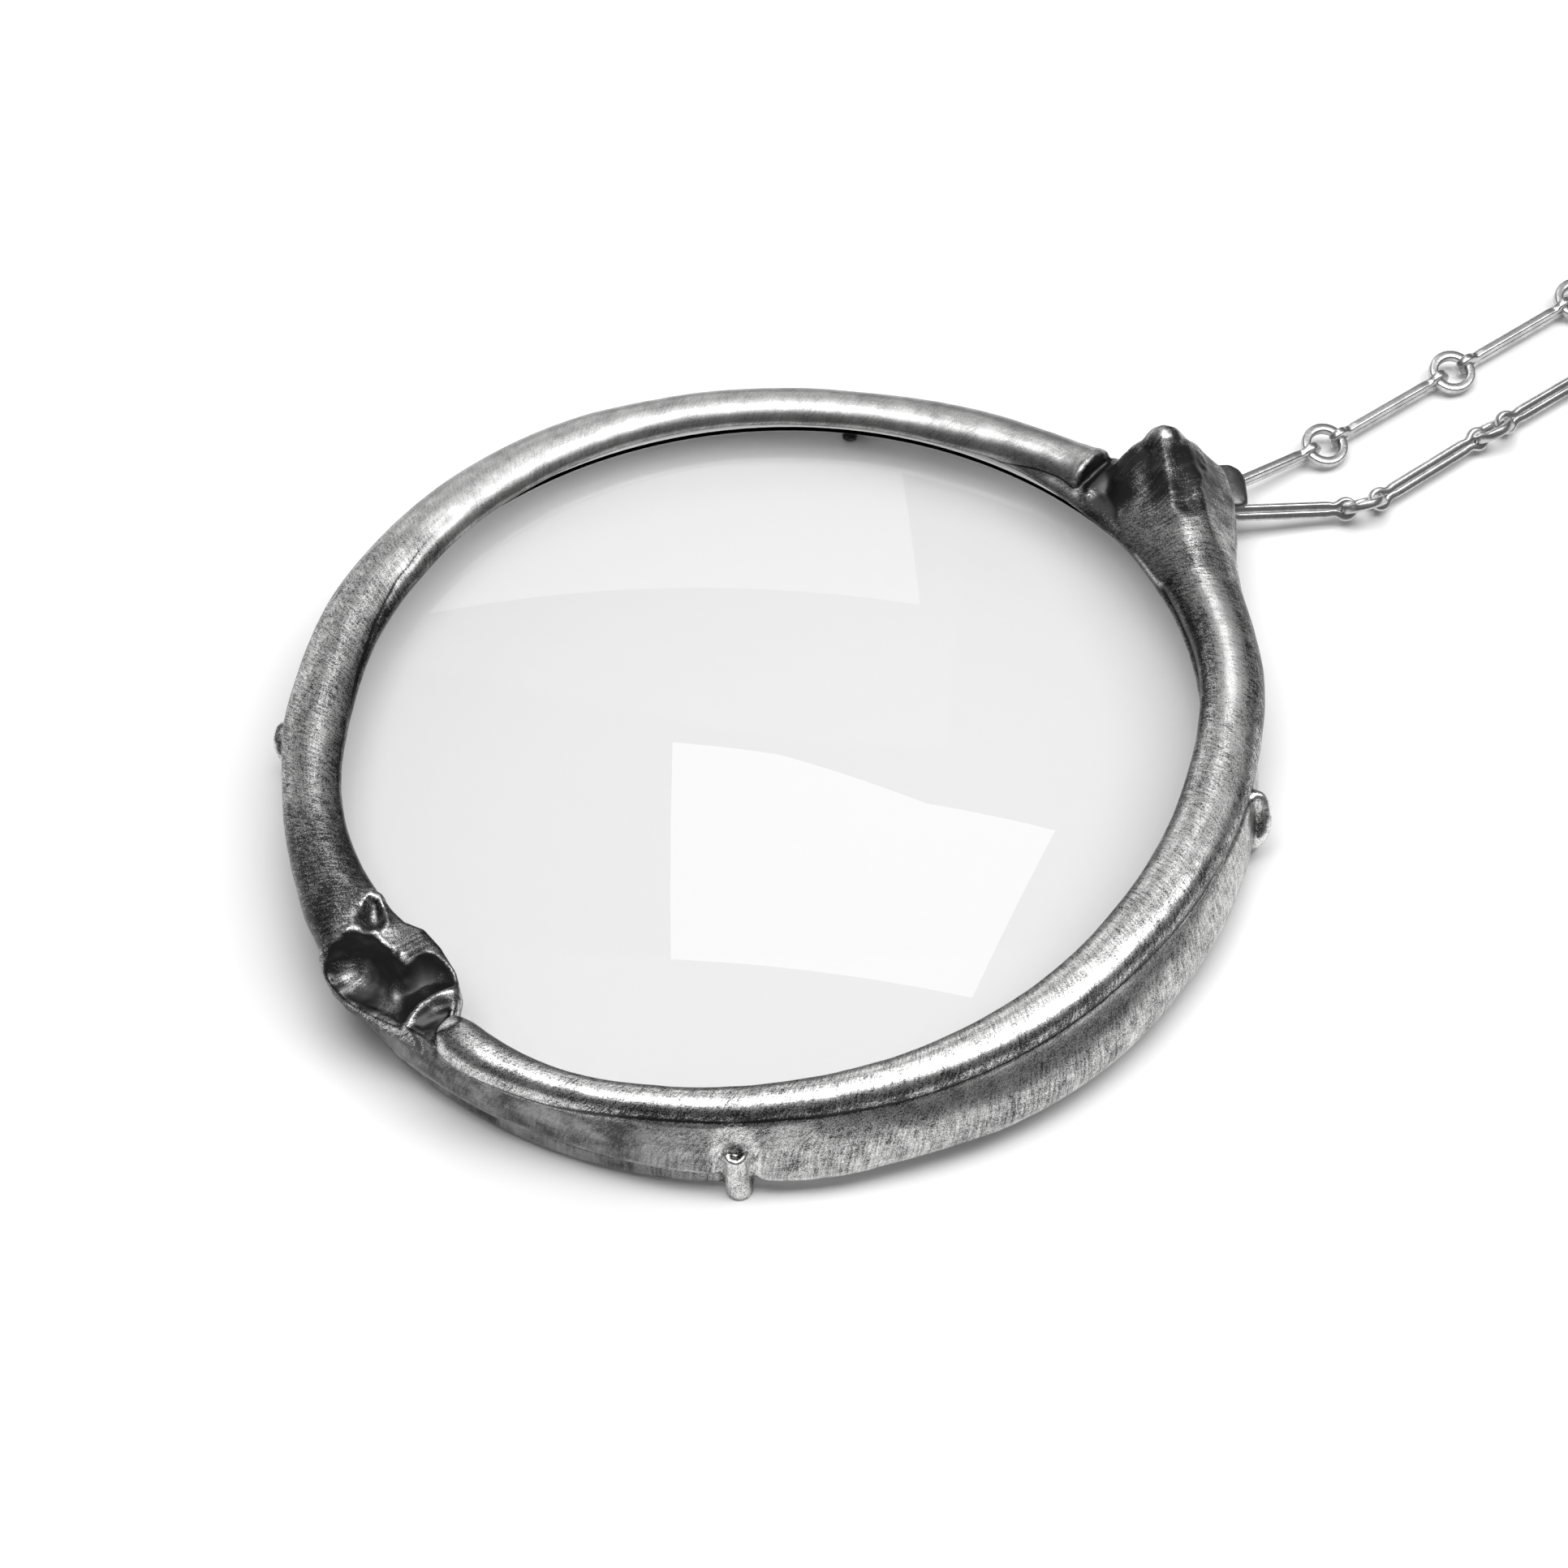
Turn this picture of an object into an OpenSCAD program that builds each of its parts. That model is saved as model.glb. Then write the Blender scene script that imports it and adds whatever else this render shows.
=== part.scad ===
// A spyglass pendant: a round magnifying lens under two cast bones that lie nose to tail round its rim,
// with its chain laid out beside it as one whole loop.
// The pendant lies glass down on the feet of its four prongs. Lengths are in millimetres, angles in degrees.
// Azimuth 0 points along +X and grows anticlockwise seen from above.

/* [Lens] */
// Diameter of the glass
lens_d = 59.8; // [58:0.1:60]
// Thickness of the glass at its rim
lens_rim = 3.3; // [2.5:0.1:3.6]
// Rise of the upper glass face from rim to middle
lens_crown = 3.0; // [1.5:0.1:3.4]
// Drop of the lower glass face from rim to middle
lens_belly = 0.7; // [0.3:0.05:0.75]
// Height of the rim's lower edge over the table
lens_lift = 0.9; // [0.85:0.05:1.1]

/* [Bezel] */
// Gap between glass and metal
fit_gap = 0.15; // [0.1:0.01:0.25]
// Radius of the band's outer wall below its skirt
band_r = 31.1; // [30.9:0.05:31.3]
// Diameter of a prong
prong_d = 1.8; // [1.2:0.1:2]
// Height of the cut top of a prong
prong_top = 3.9; // [3:0.1:5]
// How far a prong's foot reaches in under the glass
prong_reach = 2.6; // [1.5:0.1:3]

/* [Bones] */
// Factor on the thickness of both bones
bone_scale = 1; // [0.9:0.02:1.1]
// How much flatter a bone is underneath than on top
bone_under = 0.75; // [0.6:0.05:1]

/* [Bail] */
// Height over the table of the pin that holds the chain's two ends
pin_z = 2.4; // [2.2:0.05:2.5]
// Diameter of that pin
pin_d = 0.64; // [0.5:0.02:0.7]
// Thickness of the strip over the pin
strip_t = 0.5; // [0.4:0.05:0.6]
// Height of the strip's underside over the table
strip_z = 3.55; // [3.5:0.05:3.8]

/* [Chain] */
// Bar links from the bail to the clasp, on each side
bars = 31; // [24:1:34]
// Mean radius of a round ring
ring_r = 1.2; // [1.1:0.02:1.3]
// Wire diameter of a round ring
ring_wire = 0.56; // [0.4:0.02:0.6]
// Distance between the two ring wires that a bar holds
bar_len = 8.75; // [7:0.05:10]
// Thickness of a bar
bar_t = 0.46; // [0.36:0.02:0.5]
// Width of a bar at its waist
bar_w = 0.94; // [0.7:0.02:1.1]
// Outer radius of a bar's eye
eye_r = 0.96; // [0.9:0.02:1]
// Radius of the hole in an eye
eye_hole = 0.52; // [0.46:0.02:0.54]
// Length of the straight part of the hole in an eye
eye_slot = 0.55; // [0.4:0.05:0.7]
// Length of the clasp between the two ring wires that it holds
clasp_len = 13; // [11:0.5:18]
// Wire diameter of the clasp
clasp_wire = 0.9; // [0.7:0.05:1]

/* [Hidden] */
silver = "#8f8f8c";
dark_silver = "#6d6d6b";
$fn = 48;

lens_r = lens_d / 2;
rim_top = lens_lift + lens_rim;
band_in = lens_r + fit_gap;

// Bone A runs from its flared end beside the bail, over the far side and the left, to its hollow knob.
// Columns: azimuth, radius, height, half width, half height
bone_a = [
    [40.9, 31.5, 6.0, 0.9, 0.8],
    [41.8, 31.5, 6.1, 1.6, 1.45],
    [43.6, 31.4, 6.1, 1.75, 1.6],
    [46, 30.95, 6.0, 1.5, 1.35],
    [52, 30.25, 6.0, 1.6, 1.3],
    [60, 29.75, 6.0, 1.65, 1.25],
    [69, 29.4, 6.0, 1.5, 1.15],
    [77, 29.25, 6.0, 1.45, 1.1],
    [86, 29.25, 6.0, 1.45, 1.1],
    [94, 29.38, 6.0, 1.49, 1.1],
    [102, 29.45, 6.0, 1.55, 1.15],
    [111, 29.6, 6.0, 1.75, 1.2],
    [120, 29.65, 6.0, 1.85, 1.25],
    [130, 29.62, 6.0, 2.0, 1.3],
    [141, 29.5, 6.0, 2.1, 1.4],
    [153, 29.43, 6.0, 2.15, 1.4],
    [165, 29.2, 6.0, 2.15, 1.4],
    [172, 29.25, 6.0, 2.15, 1.4],
    [179, 29.3, 6.0, 1.95, 1.35],
    [188, 29.4, 6.0, 1.95, 1.4],
    [197, 29.5, 6.0, 2.2, 1.6],
    [203, 29.6, 6.0, 2.5, 1.8],
    [209, 29.6, 5.9, 2.4, 1.6],
    [212, 29.6, 5.8, 1.8, 1.2]
];

// Bone B runs from its round end below the hollow knob, along the near side and the right, to its head.
// Columns: azimuth, radius, height, half width, half height
bone_b = [
    [-135.6, 30.0, 5.7, 0.6, 0.55],
    [-134.8, 30.0, 5.8, 1.2, 1.15],
    [-132.5, 30.15, 5.9, 1.5, 1.45],
    [-129, 30.3, 6.0, 1.5, 1.4],
    [-123, 30.25, 6.0, 1.3, 1.25],
    [-117, 30.1, 6.0, 1.2, 1.2],
    [-107, 29.65, 6.0, 1.25, 1.3],
    [-95, 29.25, 6.0, 1.4, 1.4],
    [-85, 28.9, 6.0, 1.5, 1.4],
    [-75, 28.7, 6.0, 1.6, 1.4],
    [-66, 28.5, 6.0, 1.7, 1.4],
    [-57, 28.4, 6.0, 1.78, 1.4],
    [-47, 28.3, 6.0, 1.85, 1.4],
    [-38, 28.35, 6.0, 1.95, 1.4],
    [-28, 28.6, 6.0, 2.05, 1.4],
    [-19, 28.95, 6.0, 2.1, 1.4],
    [-10, 29.38, 6.0, 2.15, 1.5],
    [-4, 29.8, 6.0, 2.1, 1.6],
    [3, 30.27, 6.0, 2.1, 1.7],
    [9, 30.55, 6.0, 2.1, 1.8],
    [15, 30.75, 5.9, 2.2, 1.95],
    [20, 31.05, 5.85, 2.4, 2.1],
    [25, 31.7, 5.8, 2.9, 2.2],
    [29, 32.5, 5.8, 2.9, 2.0]
];

// The lip that closes the bezel over the glass between the two bones, under the head of bone B.
// Columns: azimuth, radius, height, half width, half height
lip = [
    [2, 29.6, 5.4, 1.0, 0.7],
    [12, 29.55, 5.3, 1.15, 0.75],
    [22, 29.6, 5.3, 1.15, 0.75],
    [32, 29.7, 5.35, 1.15, 0.75],
    [42, 29.7, 5.4, 1.2, 0.75],
    [54, 29.7, 5.5, 1.0, 0.7]
];

// The bezel's skirt goes all the way round under the bones.
// Columns: azimuth, top radius, top height, belly radius, lip radius, lip height, foot height
skirt = [
    [-180, 30.9, 5.6, 31.1, 31.2, 2.0, 0.9],
    [-160, 31.0, 5.6, 31.15, 31.2, 2.0, 0.7],
    [-142, 31.2, 5.7, 31.5, 31.6, 2.0, 0.5],
    [-128, 31.45, 6.1, 31.55, 31.5, 2.1, 0.4],
    [-116, 31.2, 6.2, 31.4, 31.35, 2.1, 0.4],
    [-101, 31.0, 6.3, 31.5, 31.6, 2.1, 0.5],
    [-93, 30.7, 6.4, 31.5, 31.65, 1.6, 0.9],
    [-86, 30.35, 6.4, 31.5, 31.7, 1.6, 1.2],
    [-76, 30.2, 6.25, 31.6, 31.6, 1.8, 1.4],
    [-66, 30.1, 6.15, 31.7, 31.8, 1.8, 1.4],
    [-57, 30.05, 6.15, 31.75, 31.9, 1.8, 1.4],
    [-47, 30.0, 6.15, 31.7, 31.75, 1.8, 1.4],
    [-38, 30.1, 6.1, 31.6, 31.67, 1.8, 1.4],
    [-28, 30.5, 5.8, 31.6, 31.6, 1.8, 1.4],
    [-19, 31.05, 5.2, 31.6, 31.6, 1.8, 1.4],
    [-10, 31.4, 4.8, 31.6, 31.6, 1.9, 1.4],
    [0, 31.4, 5.0, 31.5, 31.4, 2.0, 1.4],
    [30, 31.3, 5.4, 31.4, 31.3, 2.0, 1.4],
    [60, 30.7, 5.6, 31.1, 31.2, 2.0, 1.2],
    [90, 30.5, 5.6, 30.95, 31.15, 2.0, 1.1],
    [130, 30.8, 5.6, 31.1, 31.2, 2.0, 1.0],
    [180, 30.9, 5.6, 31.1, 31.2, 2.0, 0.9]
];

// Prongs: azimuth, radius, height of the cut top over the usual one
prongs = [
    [-97, 31.05, 0],
    [-12.5, 31.45, 0.4],
    [77, 31.05, 0],
    [171, 31.55, 0]
];

// Lumps of the hollow knob at the end of bone A
// Columns: azimuth, radius, height, lump radius
knob_a_lumps = [
    [207, 31.2, 5.9, 1.4],
    [208.5, 29.2, 6.5, 1.2],
    [213, 27.6, 6.5, 1.15],
    [218, 27.7, 6.3, 1.15],
    [222, 28.5, 5.9, 1.1],
    [225, 30.3, 5.4, 1.0],
    [219, 31.2, 5.1, 1.0],
    [212, 31.5, 5.2, 1.1]
];

// Hollows of that knob
// Columns: azimuth, radius, height, hollow radius
knob_a_hollows = [
    [211, 30.6, 9.5, 3.0],
    [217, 28.7, 9.3, 2.9],
    [223, 29.5, 8.0, 2.1]
];

// Lumps of the head at the end of bone B, across to the bail
// Columns: x, y, height, lump radius
knob_b_lumps = [
    [28.9, 14.0, 5.8, 2.3],
    [30.4, 18.4, 5.5, 1.8],
    [27.8, 21.1, 8.0, 1.2],
    [25.9, 20.2, 6.6, 1.3],
    [29.5, 20.3, 6.7, 1.3],
    [30.5, 20.5, 5.1, 1.2],
    [27.6, 18.4, 4.3, 1.6]
];

// Hollows of that head
// Columns: x, y, height, hollow radius
knob_b_hollows = [
    [25.4, 18.4, 9.9, 2.9],
    [30.3, 18.6, 10.2, 2.9]
];

// Outline of the strip over the pin: x, y
strip = [
    [29.0, 19.0],
    [32.9, 18.9],
    [33.3, 19.4],
    [33.3, 21.4],
    [33.0, 22.0],
    [32.3, 22.5],
    [29.5, 22.5]
];

// Where the chain's first ring lies on each side: x, y, azimuth of the bar that comes from the pin
upper = [39.27, 26.17, 30];
lower = [41.21, 20.43, 4.7];
// Rolls of the first bar of the lower and of the upper strand
first_rolls = [-36, 14];

// The two strands run out along this azimuth and come back to it at the clasp
chain_axis = 32;
step = bar_len + 2 * ring_r;
steps = bars - 1;
// Steps that run straight, that turn out, that run straight again, and that turn in at the far end
lead = 2;
turn_out = 4;
run = floor((steps - lead - turn_out) / 2);
turn_in = steps - lead - turn_out - run;

// Row of table t that starts the stretch holding key x
function stretch(t, x, i = 0) =
    (i >= len(t) - 2 || x < t[i + 1][0]) ? i : stretch(t, x, i + 1);

// Smooth value between p1 and p2, with p0 and p3 as their outer neighbours
function smooth(p0, p1, p2, p3, u) =
    p1 + 0.5 * u * (p2 - p0 + u * (2 * p0 - 5 * p1 + 4 * p2 - p3 + u * (3 * (p1 - p2) + p3 - p0)));

// Row of table t at key x, taken smoothly between its rows
function look(t, x) =
    let (i = stretch(t, x), u = (x - t[i][0]) / (t[i + 1][0] - t[i][0]))
    smooth(t[max(i - 1, 0)], t[i], t[i + 1], t[min(i + 2, len(t) - 1)], u);

// Point at a radius, an azimuth and a height
function polar(a, r, z) = [r * cos(a), r * sin(a), z];

// One cross-section of a bone: an ellipse that is flatter underneath
function bone_ring(row, m) = [
    for (j = [0 : m - 1])
        let (
            a = 360 * j / m,
            up = row[4] * bone_scale * sin(a) * (sin(a) < 0 ? bone_under : 1)
        )
        polar(row[0], row[1] + row[3] * bone_scale * cos(a), row[2] + up)
];

// One cross-section of the skirt, from its inner foot round to its inner shoulder
function skirt_ring(row) = [
    polar(row[0], band_in, row[6]),
    polar(row[0], band_r - 0.15, row[6]),
    polar(row[0], band_r, row[6] + 0.2),
    polar(row[0], band_r, row[5] + 0.1),
    polar(row[0], row[4], row[5]),
    polar(row[0], row[4] + 0.03, row[5] + 0.3),
    polar(row[0], row[3], (row[2] + row[5]) / 2),
    polar(row[0], (row[1] + row[3]) / 2 + 0.08, row[2] * 0.78 + row[5] * 0.22),
    polar(row[0], row[1], row[2]),
    polar(row[0], 29.2, 6.0),
    polar(row[0], 29.2, rim_top + 0.55),
    polar(row[0], band_in, rim_top + 0.2)
];

// How far step k points away from the chain's axis when the strands part by angle w
function lean(k, w) =
    k <= lead ? 0 :
    k <= lead + turn_out ? w * (k - lead) / (turn_out + 1) :
    k <= lead + turn_out + run ? w :
    w - (w + 90) * (k - lead - turn_out - run - 0.5) / turn_in;

// Sum of the sideways parts of steps k to the last
function drift(w, k = 1) = k > steps ? 0 : sin(lean(k, w)) + drift(w, k + 1);

// The angle w at which both strands end as far apart as the clasp needs
function part_angle(need, lo = 0, hi = 60, n = 24) =
    n == 0 ? (lo + hi) / 2 :
    drift((lo + hi) / 2) < need
        ? part_angle(need, (lo + hi) / 2, hi, n - 1)
        : part_angle(need, lo, (lo + hi) / 2, n - 1);

// Distance of a ring from the chain's axis
function off_axis(p) = abs((p[1] - mid[1]) * cos(chain_axis) - (p[0] - mid[0]) * sin(chain_axis));

// Plan positions of all the rings of one strand; side is 1 or -1
function trail(p, side, k = 1) =
    k > bars ? [] :
    let (h = chain_axis + side * lean(k, spread))
    concat([p], trail(p + step * [cos(h), sin(h)], side, k + 1));

// Roll of ring k of a strand about its run; near the clasp both strands lie over
function roll(k, side) =
    side * (side > 0 ? 18 : 45) * max(0, 1 - (k - 1) / 10) + side * 60 * max(0, (k - bars + 12) / 12);

// Height at which a link of roll a lies on the table
function lie(a) =
    max(eye_r * cos(a) + bar_t / 2 * abs(sin(a)), ring_r * abs(sin(a)) + ring_wire / 2) + 0.06;

// Straight way out through the eye of a first bar that points along azimuth h and is rolled by a
function eye_side(h, a, side) = side * [-sin(h) * cos(a), cos(h) * cos(a), sin(a)];

// End of the first bar on the pin, seen from its ring at plan position and height p
function pin_end(p, s) =
    let (
        long = bar_len + ring_r,
        flat = sqrt(long * long - (pin_z - p[2]) * (pin_z - p[2]))
    )
    [p[0] - flat * cos(s[2]), p[1] - flat * sin(s[2]), pin_z];

// How much higher the first ring lies, because it leans towards its pin
first_rise = 0.1;
mid = [(upper[0] + lower[0]) / 2, (upper[1] + lower[1]) / 2];
spread = part_angle((clasp_len / 2 + ring_r - off_axis(upper)) / step);
high_trail = trail([upper[0], upper[1]], 1);
low_trail = trail([lower[0], lower[1]], -1);
high_pin = pin_end([upper[0], upper[1], lie(roll(1, 1)) + first_rise], upper);
low_pin = pin_end([lower[0], lower[1], lie(roll(1, -1)) + first_rise], lower);

// How far the pendant's own metal reaches to the left and to the near side of the lens's middle
pendant_left = 32.04;
pendant_near = 31.71;
// Middle of the whole footprint, seen from the lens's middle; the part's origin is there
rings = concat(high_trail, low_trail);
centre = [
    (max([for (p = rings) p[0]]) + 1.48 - pendant_left) / 2,
    (max([for (p = rings) p[1]]) + 1.48 - pendant_near) / 2,
    0
];

// Skin over a row of rings; a closed one joins its last ring to its first
module skin(rings, closed) {
    n = len(rings);
    m = len(rings[0]);
    last = closed ? n - 1 : n - 2;
    sides = [
        for (i = [0 : last], j = [0 : m - 1])
            let (a = i * m, b = ((i + 1) % n) * m, k = (j + 1) % m)
            each [[a + j, b + k, b + j], [a + j, a + k, b + k]]
    ];
    ends = closed ? [] : [
        [for (j = [0 : m - 1]) m - 1 - j],
        [for (j = [0 : m - 1]) (n - 1) * m + j]
    ];
    polyhedron(points = [for (r = rings) each r], faces = concat(sides, ends), convexity = 6);
}

// One bone shaft, swept along its table
module shaft(t, n) {
    first = t[0][0];
    last = t[len(t) - 1][0];
    skin([for (i = [0 : n]) bone_ring(look(t, first + (last - first) * i / n), 14)], false);
}

module band(n = 84) {
    skin([for (i = [0 : n - 1]) skirt_ring(look(skirt, -180 + 360 * i / n))], true);
}

// A ball at an azimuth, a radius and a height
module ball(a, r, z, d) {
    translate(polar(a, r, z))
        sphere(r = d, $fn = 20);
}

module knob_a() {
    hull()
        for (l = knob_a_lumps)
            ball(l[0], l[1], l[2], l[3]);
    // The lobe that stands over the shaft behind the hollows
    hull() {
        ball(202, 28.7, 6.9, 0.6);
        ball(206.5, 28.7, 7.3, 0.8);
    }
}

module knob_b() {
    hull()
        for (l = knob_b_lumps)
            translate([l[0], l[1], l[2]])
                sphere(r = l[3], $fn = 20);
    // The bead between the head and the end of bone A
    hull() {
        translate([25.4, 19.4, 5.9])
            sphere(r = 1.3, $fn = 16);
        translate([23.7, 19.8, 5.9])
            sphere(r = 1.1, $fn = 16);
    }
}

// Puts the origin in the middle of the footprint
module centred() {
    translate(-centre)
        children();
}

// Everything scooped out of the two knobs
module hollows() {
    for (h = knob_a_hollows)
        ball(h[0], h[1], h[2], h[3]);
    ball(205.8, 28.75, 8.25, 0.7);
    for (h = knob_b_hollows)
        translate([h[0], h[1], h[2]])
            sphere(r = h[3], $fn = 20);
}

// One prong: an upright with a rough cut top, and a flat foot that turns in under the glass
module prong(p) {
    rotate([0, 0, p[0]]) {
        hull() {
            translate([p[1], 0, 0.5])
                sphere(r = prong_d / 2, $fn = 20);
            translate([p[1] - 0.05, 0, prong_top + p[2] - 0.4])
                rotate([8, -14, 0])
                    cylinder(r = prong_d / 2 - 0.04, h = 0.4, $fn = 20);
        }
        hull() {
            translate([p[1], 0, 0])
                cylinder(r = prong_d / 2 - 0.1, h = 0.65, $fn = 20);
            translate([p[1] - prong_reach - 0.4, 0, 0])
                cylinder(r = 0.6, h = 0.55, $fn = 20);
        }
    }
}

// The bail: a hanging wire for the chain's two ends, its legs up into the head, and the strip over it
module bail() {
    low_out = eye_side(lower[2], first_rolls[0], -1);
    high_out = eye_side(upper[2], first_rolls[1], 1);
    wire = [
        [low_pin[0] + 0.8 * low_out[0] - 0.7, low_pin[1] + 0.8 * low_out[1], 4.6],
        low_pin + 0.8 * low_out,
        low_pin - 0.5 * low_out,
        high_pin - 0.5 * high_out,
        high_pin + 0.8 * high_out,
        [high_pin[0] + 0.8 * high_out[0] - 0.7, high_pin[1] + 0.8 * high_out[1], 4.6]
    ];
    for (i = [0 : len(wire) - 2])
        hull()
            for (w = [wire[i], wire[i + 1]])
                translate(w)
                    sphere(r = pin_d / 2, $fn = 12);
    hull() {
        translate([0, 0, strip_z + 0.1])
            linear_extrude(strip_t - 0.2)
                polygon(strip);
        translate([31, 20.7, strip_z])
            scale([0.96, 0.96, 1])
                translate([-31, -20.7, 0])
                    linear_extrude(strip_t)
                        polygon(strip);
    }
}

// The room that the glass and its gap need inside the metal
module lens_room() {
    ball_r = (lens_r * lens_r + lens_crown * lens_crown) / (2 * lens_crown);
    rotate_extrude($fn = 90)
        intersection() {
            translate([0, lens_lift - fit_gap])
                square([lens_r + fit_gap * 0.7, 12]);
            translate([0, rim_top + lens_crown - ball_r])
                circle(r = ball_r + fit_gap + 0.05, $fn = 360);
        }
}

module frame() {
    color(silver)
        centred()
            difference() {
                union() {
                    shaft(bone_a, 84);
                    shaft(bone_b, 80);
                    shaft(lip, 20);
                    band();
                    knob_a();
                    knob_b();
                    bail();
                    for (p = prongs)
                        prong(p);
                }
                hollows();
                lens_room();
                translate([-50, -50, -2])
                    cube([100, 100, 2]);
            }
}

module lens() {
    top_r = (lens_r * lens_r + lens_crown * lens_crown) / (2 * lens_crown);
    low_r = (lens_r * lens_r + lens_belly * lens_belly) / (2 * lens_belly);
    color("#eef3f3", 0.35)
        centred()
            rotate_extrude($fn = 180)
                intersection() {
                    square([lens_r, 20]);
                    translate([0, rim_top + lens_crown - top_r])
                        circle(r = top_r, $fn = 720);
                    translate([0, lens_lift - lens_belly + low_r])
                        circle(r = low_r, $fn = 1440);
                }
}

// Carries its child, drawn along X round the origin, to the middle of the line from p to q
module between(p, q, a) {
    d = q - p;
    translate((p + q) / 2)
        rotate([0, -asin(d[2] / norm(d)), atan2(d[1], d[0])])
            rotate([a, 0, 0])
                children();
}

// A bar link with an upright eye at each end
module bar() {
    end = bar_len / 2 - 0.05;
    rotate([90, 0, 0])
        translate([0, 0, -bar_t / 2])
            linear_extrude(bar_t)
                difference() {
                    union() {
                        square([bar_len - 1.5, bar_w], center = true);
                        for (side = [-1, 1]) {
                            translate([side * end, 0])
                                circle(r = eye_r);
                            translate([side * (end - eye_slot), 0])
                                circle(r = eye_r);
                            translate([side * (end - eye_slot / 2), 0])
                                square([eye_slot, 2 * eye_r], center = true);
                        }
                    }
                    for (side = [-1, 1]) {
                        translate([side * end, 0])
                            circle(r = eye_hole);
                        translate([side * (end - eye_slot), 0])
                            circle(r = eye_hole);
                        translate([side * (end - eye_slot / 2), 0])
                            square([eye_slot, 2 * eye_hole], center = true);
                    }
                }
}

module ring() {
    rotate_extrude()
        translate([ring_r, 0])
            circle(r = ring_wire / 2);
}

// Normal of a ring that runs along u and is rolled by a
function face(u, a) =
    let (s = [-u[1], u[0], 0] / norm([u[0], u[1]]))
    cos(a) * cross(u, s) / norm(u) - sin(a) * s;

// Point of the wire of a ring round c, with normal n, that a bar in direction d holds
function hold(c, n, d) =
    let (p = d - n * (d * n))
    c + ring_r * p / norm(p);

// One strand: its first bar from the pin, then a ring and a bar in turn, and its last ring
module strand(flat, pin, side) {
    n = len(flat) - 1;
    rolls = [for (k = [0 : n]) roll(k + 1, side)];
    at = [for (k = [0 : n]) [flat[k][0], flat[k][1], lie(rolls[k]) + (k == 0 ? first_rise : 0)]];
    to_clasp = side * [sin(chain_axis), -cos(chain_axis), 0];
    runs = [
        (at[0] - pin) / norm(at[0] - pin),
        for (k = [1 : n]) (at[k] - at[k - 1]) / norm(at[k] - at[k - 1]),
        to_clasp
    ];
    faces = [for (k = [0 : n]) face(runs[k] + runs[k + 1], rolls[k])];
    for (k = [0 : n])
        between(at[k] - runs[k] - runs[k + 1], at[k] + runs[k] + runs[k + 1], rolls[k])
            ring();
    between(pin, hold(at[0], faces[0], -runs[0]), first_rolls[side > 0 ? 1 : 0])
        bar();
    for (k = [1 : n])
        between(
            hold(at[k - 1], faces[k - 1], runs[k]),
            hold(at[k], faces[k], -runs[k]),
            (rolls[k - 1] + rolls[k]) / 2
        )
            bar();
}

module chain() {
    color(dark_silver)
        centred() {
            strand(high_trail, high_pin, 1);
            strand(low_trail, low_pin, -1);
        }
}

// A plain hook: a closed eye, a rod and an open eye
module clasp() {
    z = lie(60);
    eye = 1.5;
    from = [high_trail[bars - 1][0], high_trail[bars - 1][1], z];
    to = [low_trail[bars - 1][0], low_trail[bars - 1][1], z];
    reach = norm(to - from) / 2 - ring_r - 0.6;
    color(dark_silver)
        centred()
            between(from, to, 60)
                rotate([90, 0, 0]) {
                    translate([-reach, 0, 0])
                        rotate_extrude()
                            translate([eye, 0])
                                circle(r = clasp_wire / 2);
                    translate([reach, 0, 0])
                        rotate([0, 0, -100])
                            rotate_extrude(angle = 290)
                                translate([eye, 0])
                                    circle(r = clasp_wire / 2);
                    rotate([0, 90, 0])
                        cylinder(r = clasp_wire / 2, h = 2 * (reach - eye), center = true);
                    rotate([0, 90, 0])
                        cylinder(r = clasp_wire * 0.75, h = reach, center = true);
                }
}

frame();
lens();
chain();
clasp();
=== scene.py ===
# %% [markdown]
# # A spyglass pendant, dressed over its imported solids
#
# The pendant is a 60 mm magnifying glass in a cast silver bezel. Two long bones lie nose to tail on
# the bezel's rim, four prongs hold the glass from below, and a fine chain runs off to the right.
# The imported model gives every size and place. This lesson loads it, builds a finer surface for each
# visible piece, gives each one its metal or glass, and sets the table, the lights and the camera.

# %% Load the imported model
import math
import bmesh
import bpy
import numpy as np
from mathutils import Matrix, Vector


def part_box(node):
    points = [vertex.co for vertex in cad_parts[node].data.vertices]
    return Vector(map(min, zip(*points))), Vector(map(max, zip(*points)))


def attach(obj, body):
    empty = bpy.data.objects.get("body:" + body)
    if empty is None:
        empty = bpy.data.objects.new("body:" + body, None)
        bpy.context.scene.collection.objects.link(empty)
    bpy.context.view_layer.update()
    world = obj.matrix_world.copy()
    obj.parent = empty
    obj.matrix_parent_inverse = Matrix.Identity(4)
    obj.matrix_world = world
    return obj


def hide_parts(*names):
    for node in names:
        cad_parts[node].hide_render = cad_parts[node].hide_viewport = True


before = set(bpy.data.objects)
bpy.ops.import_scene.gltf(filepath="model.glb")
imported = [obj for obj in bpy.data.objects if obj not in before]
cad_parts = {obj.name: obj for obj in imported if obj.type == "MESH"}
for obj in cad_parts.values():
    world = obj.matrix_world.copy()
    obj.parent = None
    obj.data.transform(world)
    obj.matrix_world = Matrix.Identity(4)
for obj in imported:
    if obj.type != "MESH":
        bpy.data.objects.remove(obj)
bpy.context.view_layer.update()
MM = 0.001
glass_low, glass_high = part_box("lens")
middle = np.array([(glass_low[0] + glass_high[0]) / 2, (glass_low[1] + glass_high[1]) / 2, 0]) / MM
print("middle of the glass in mm", middle.round(3))

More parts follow.
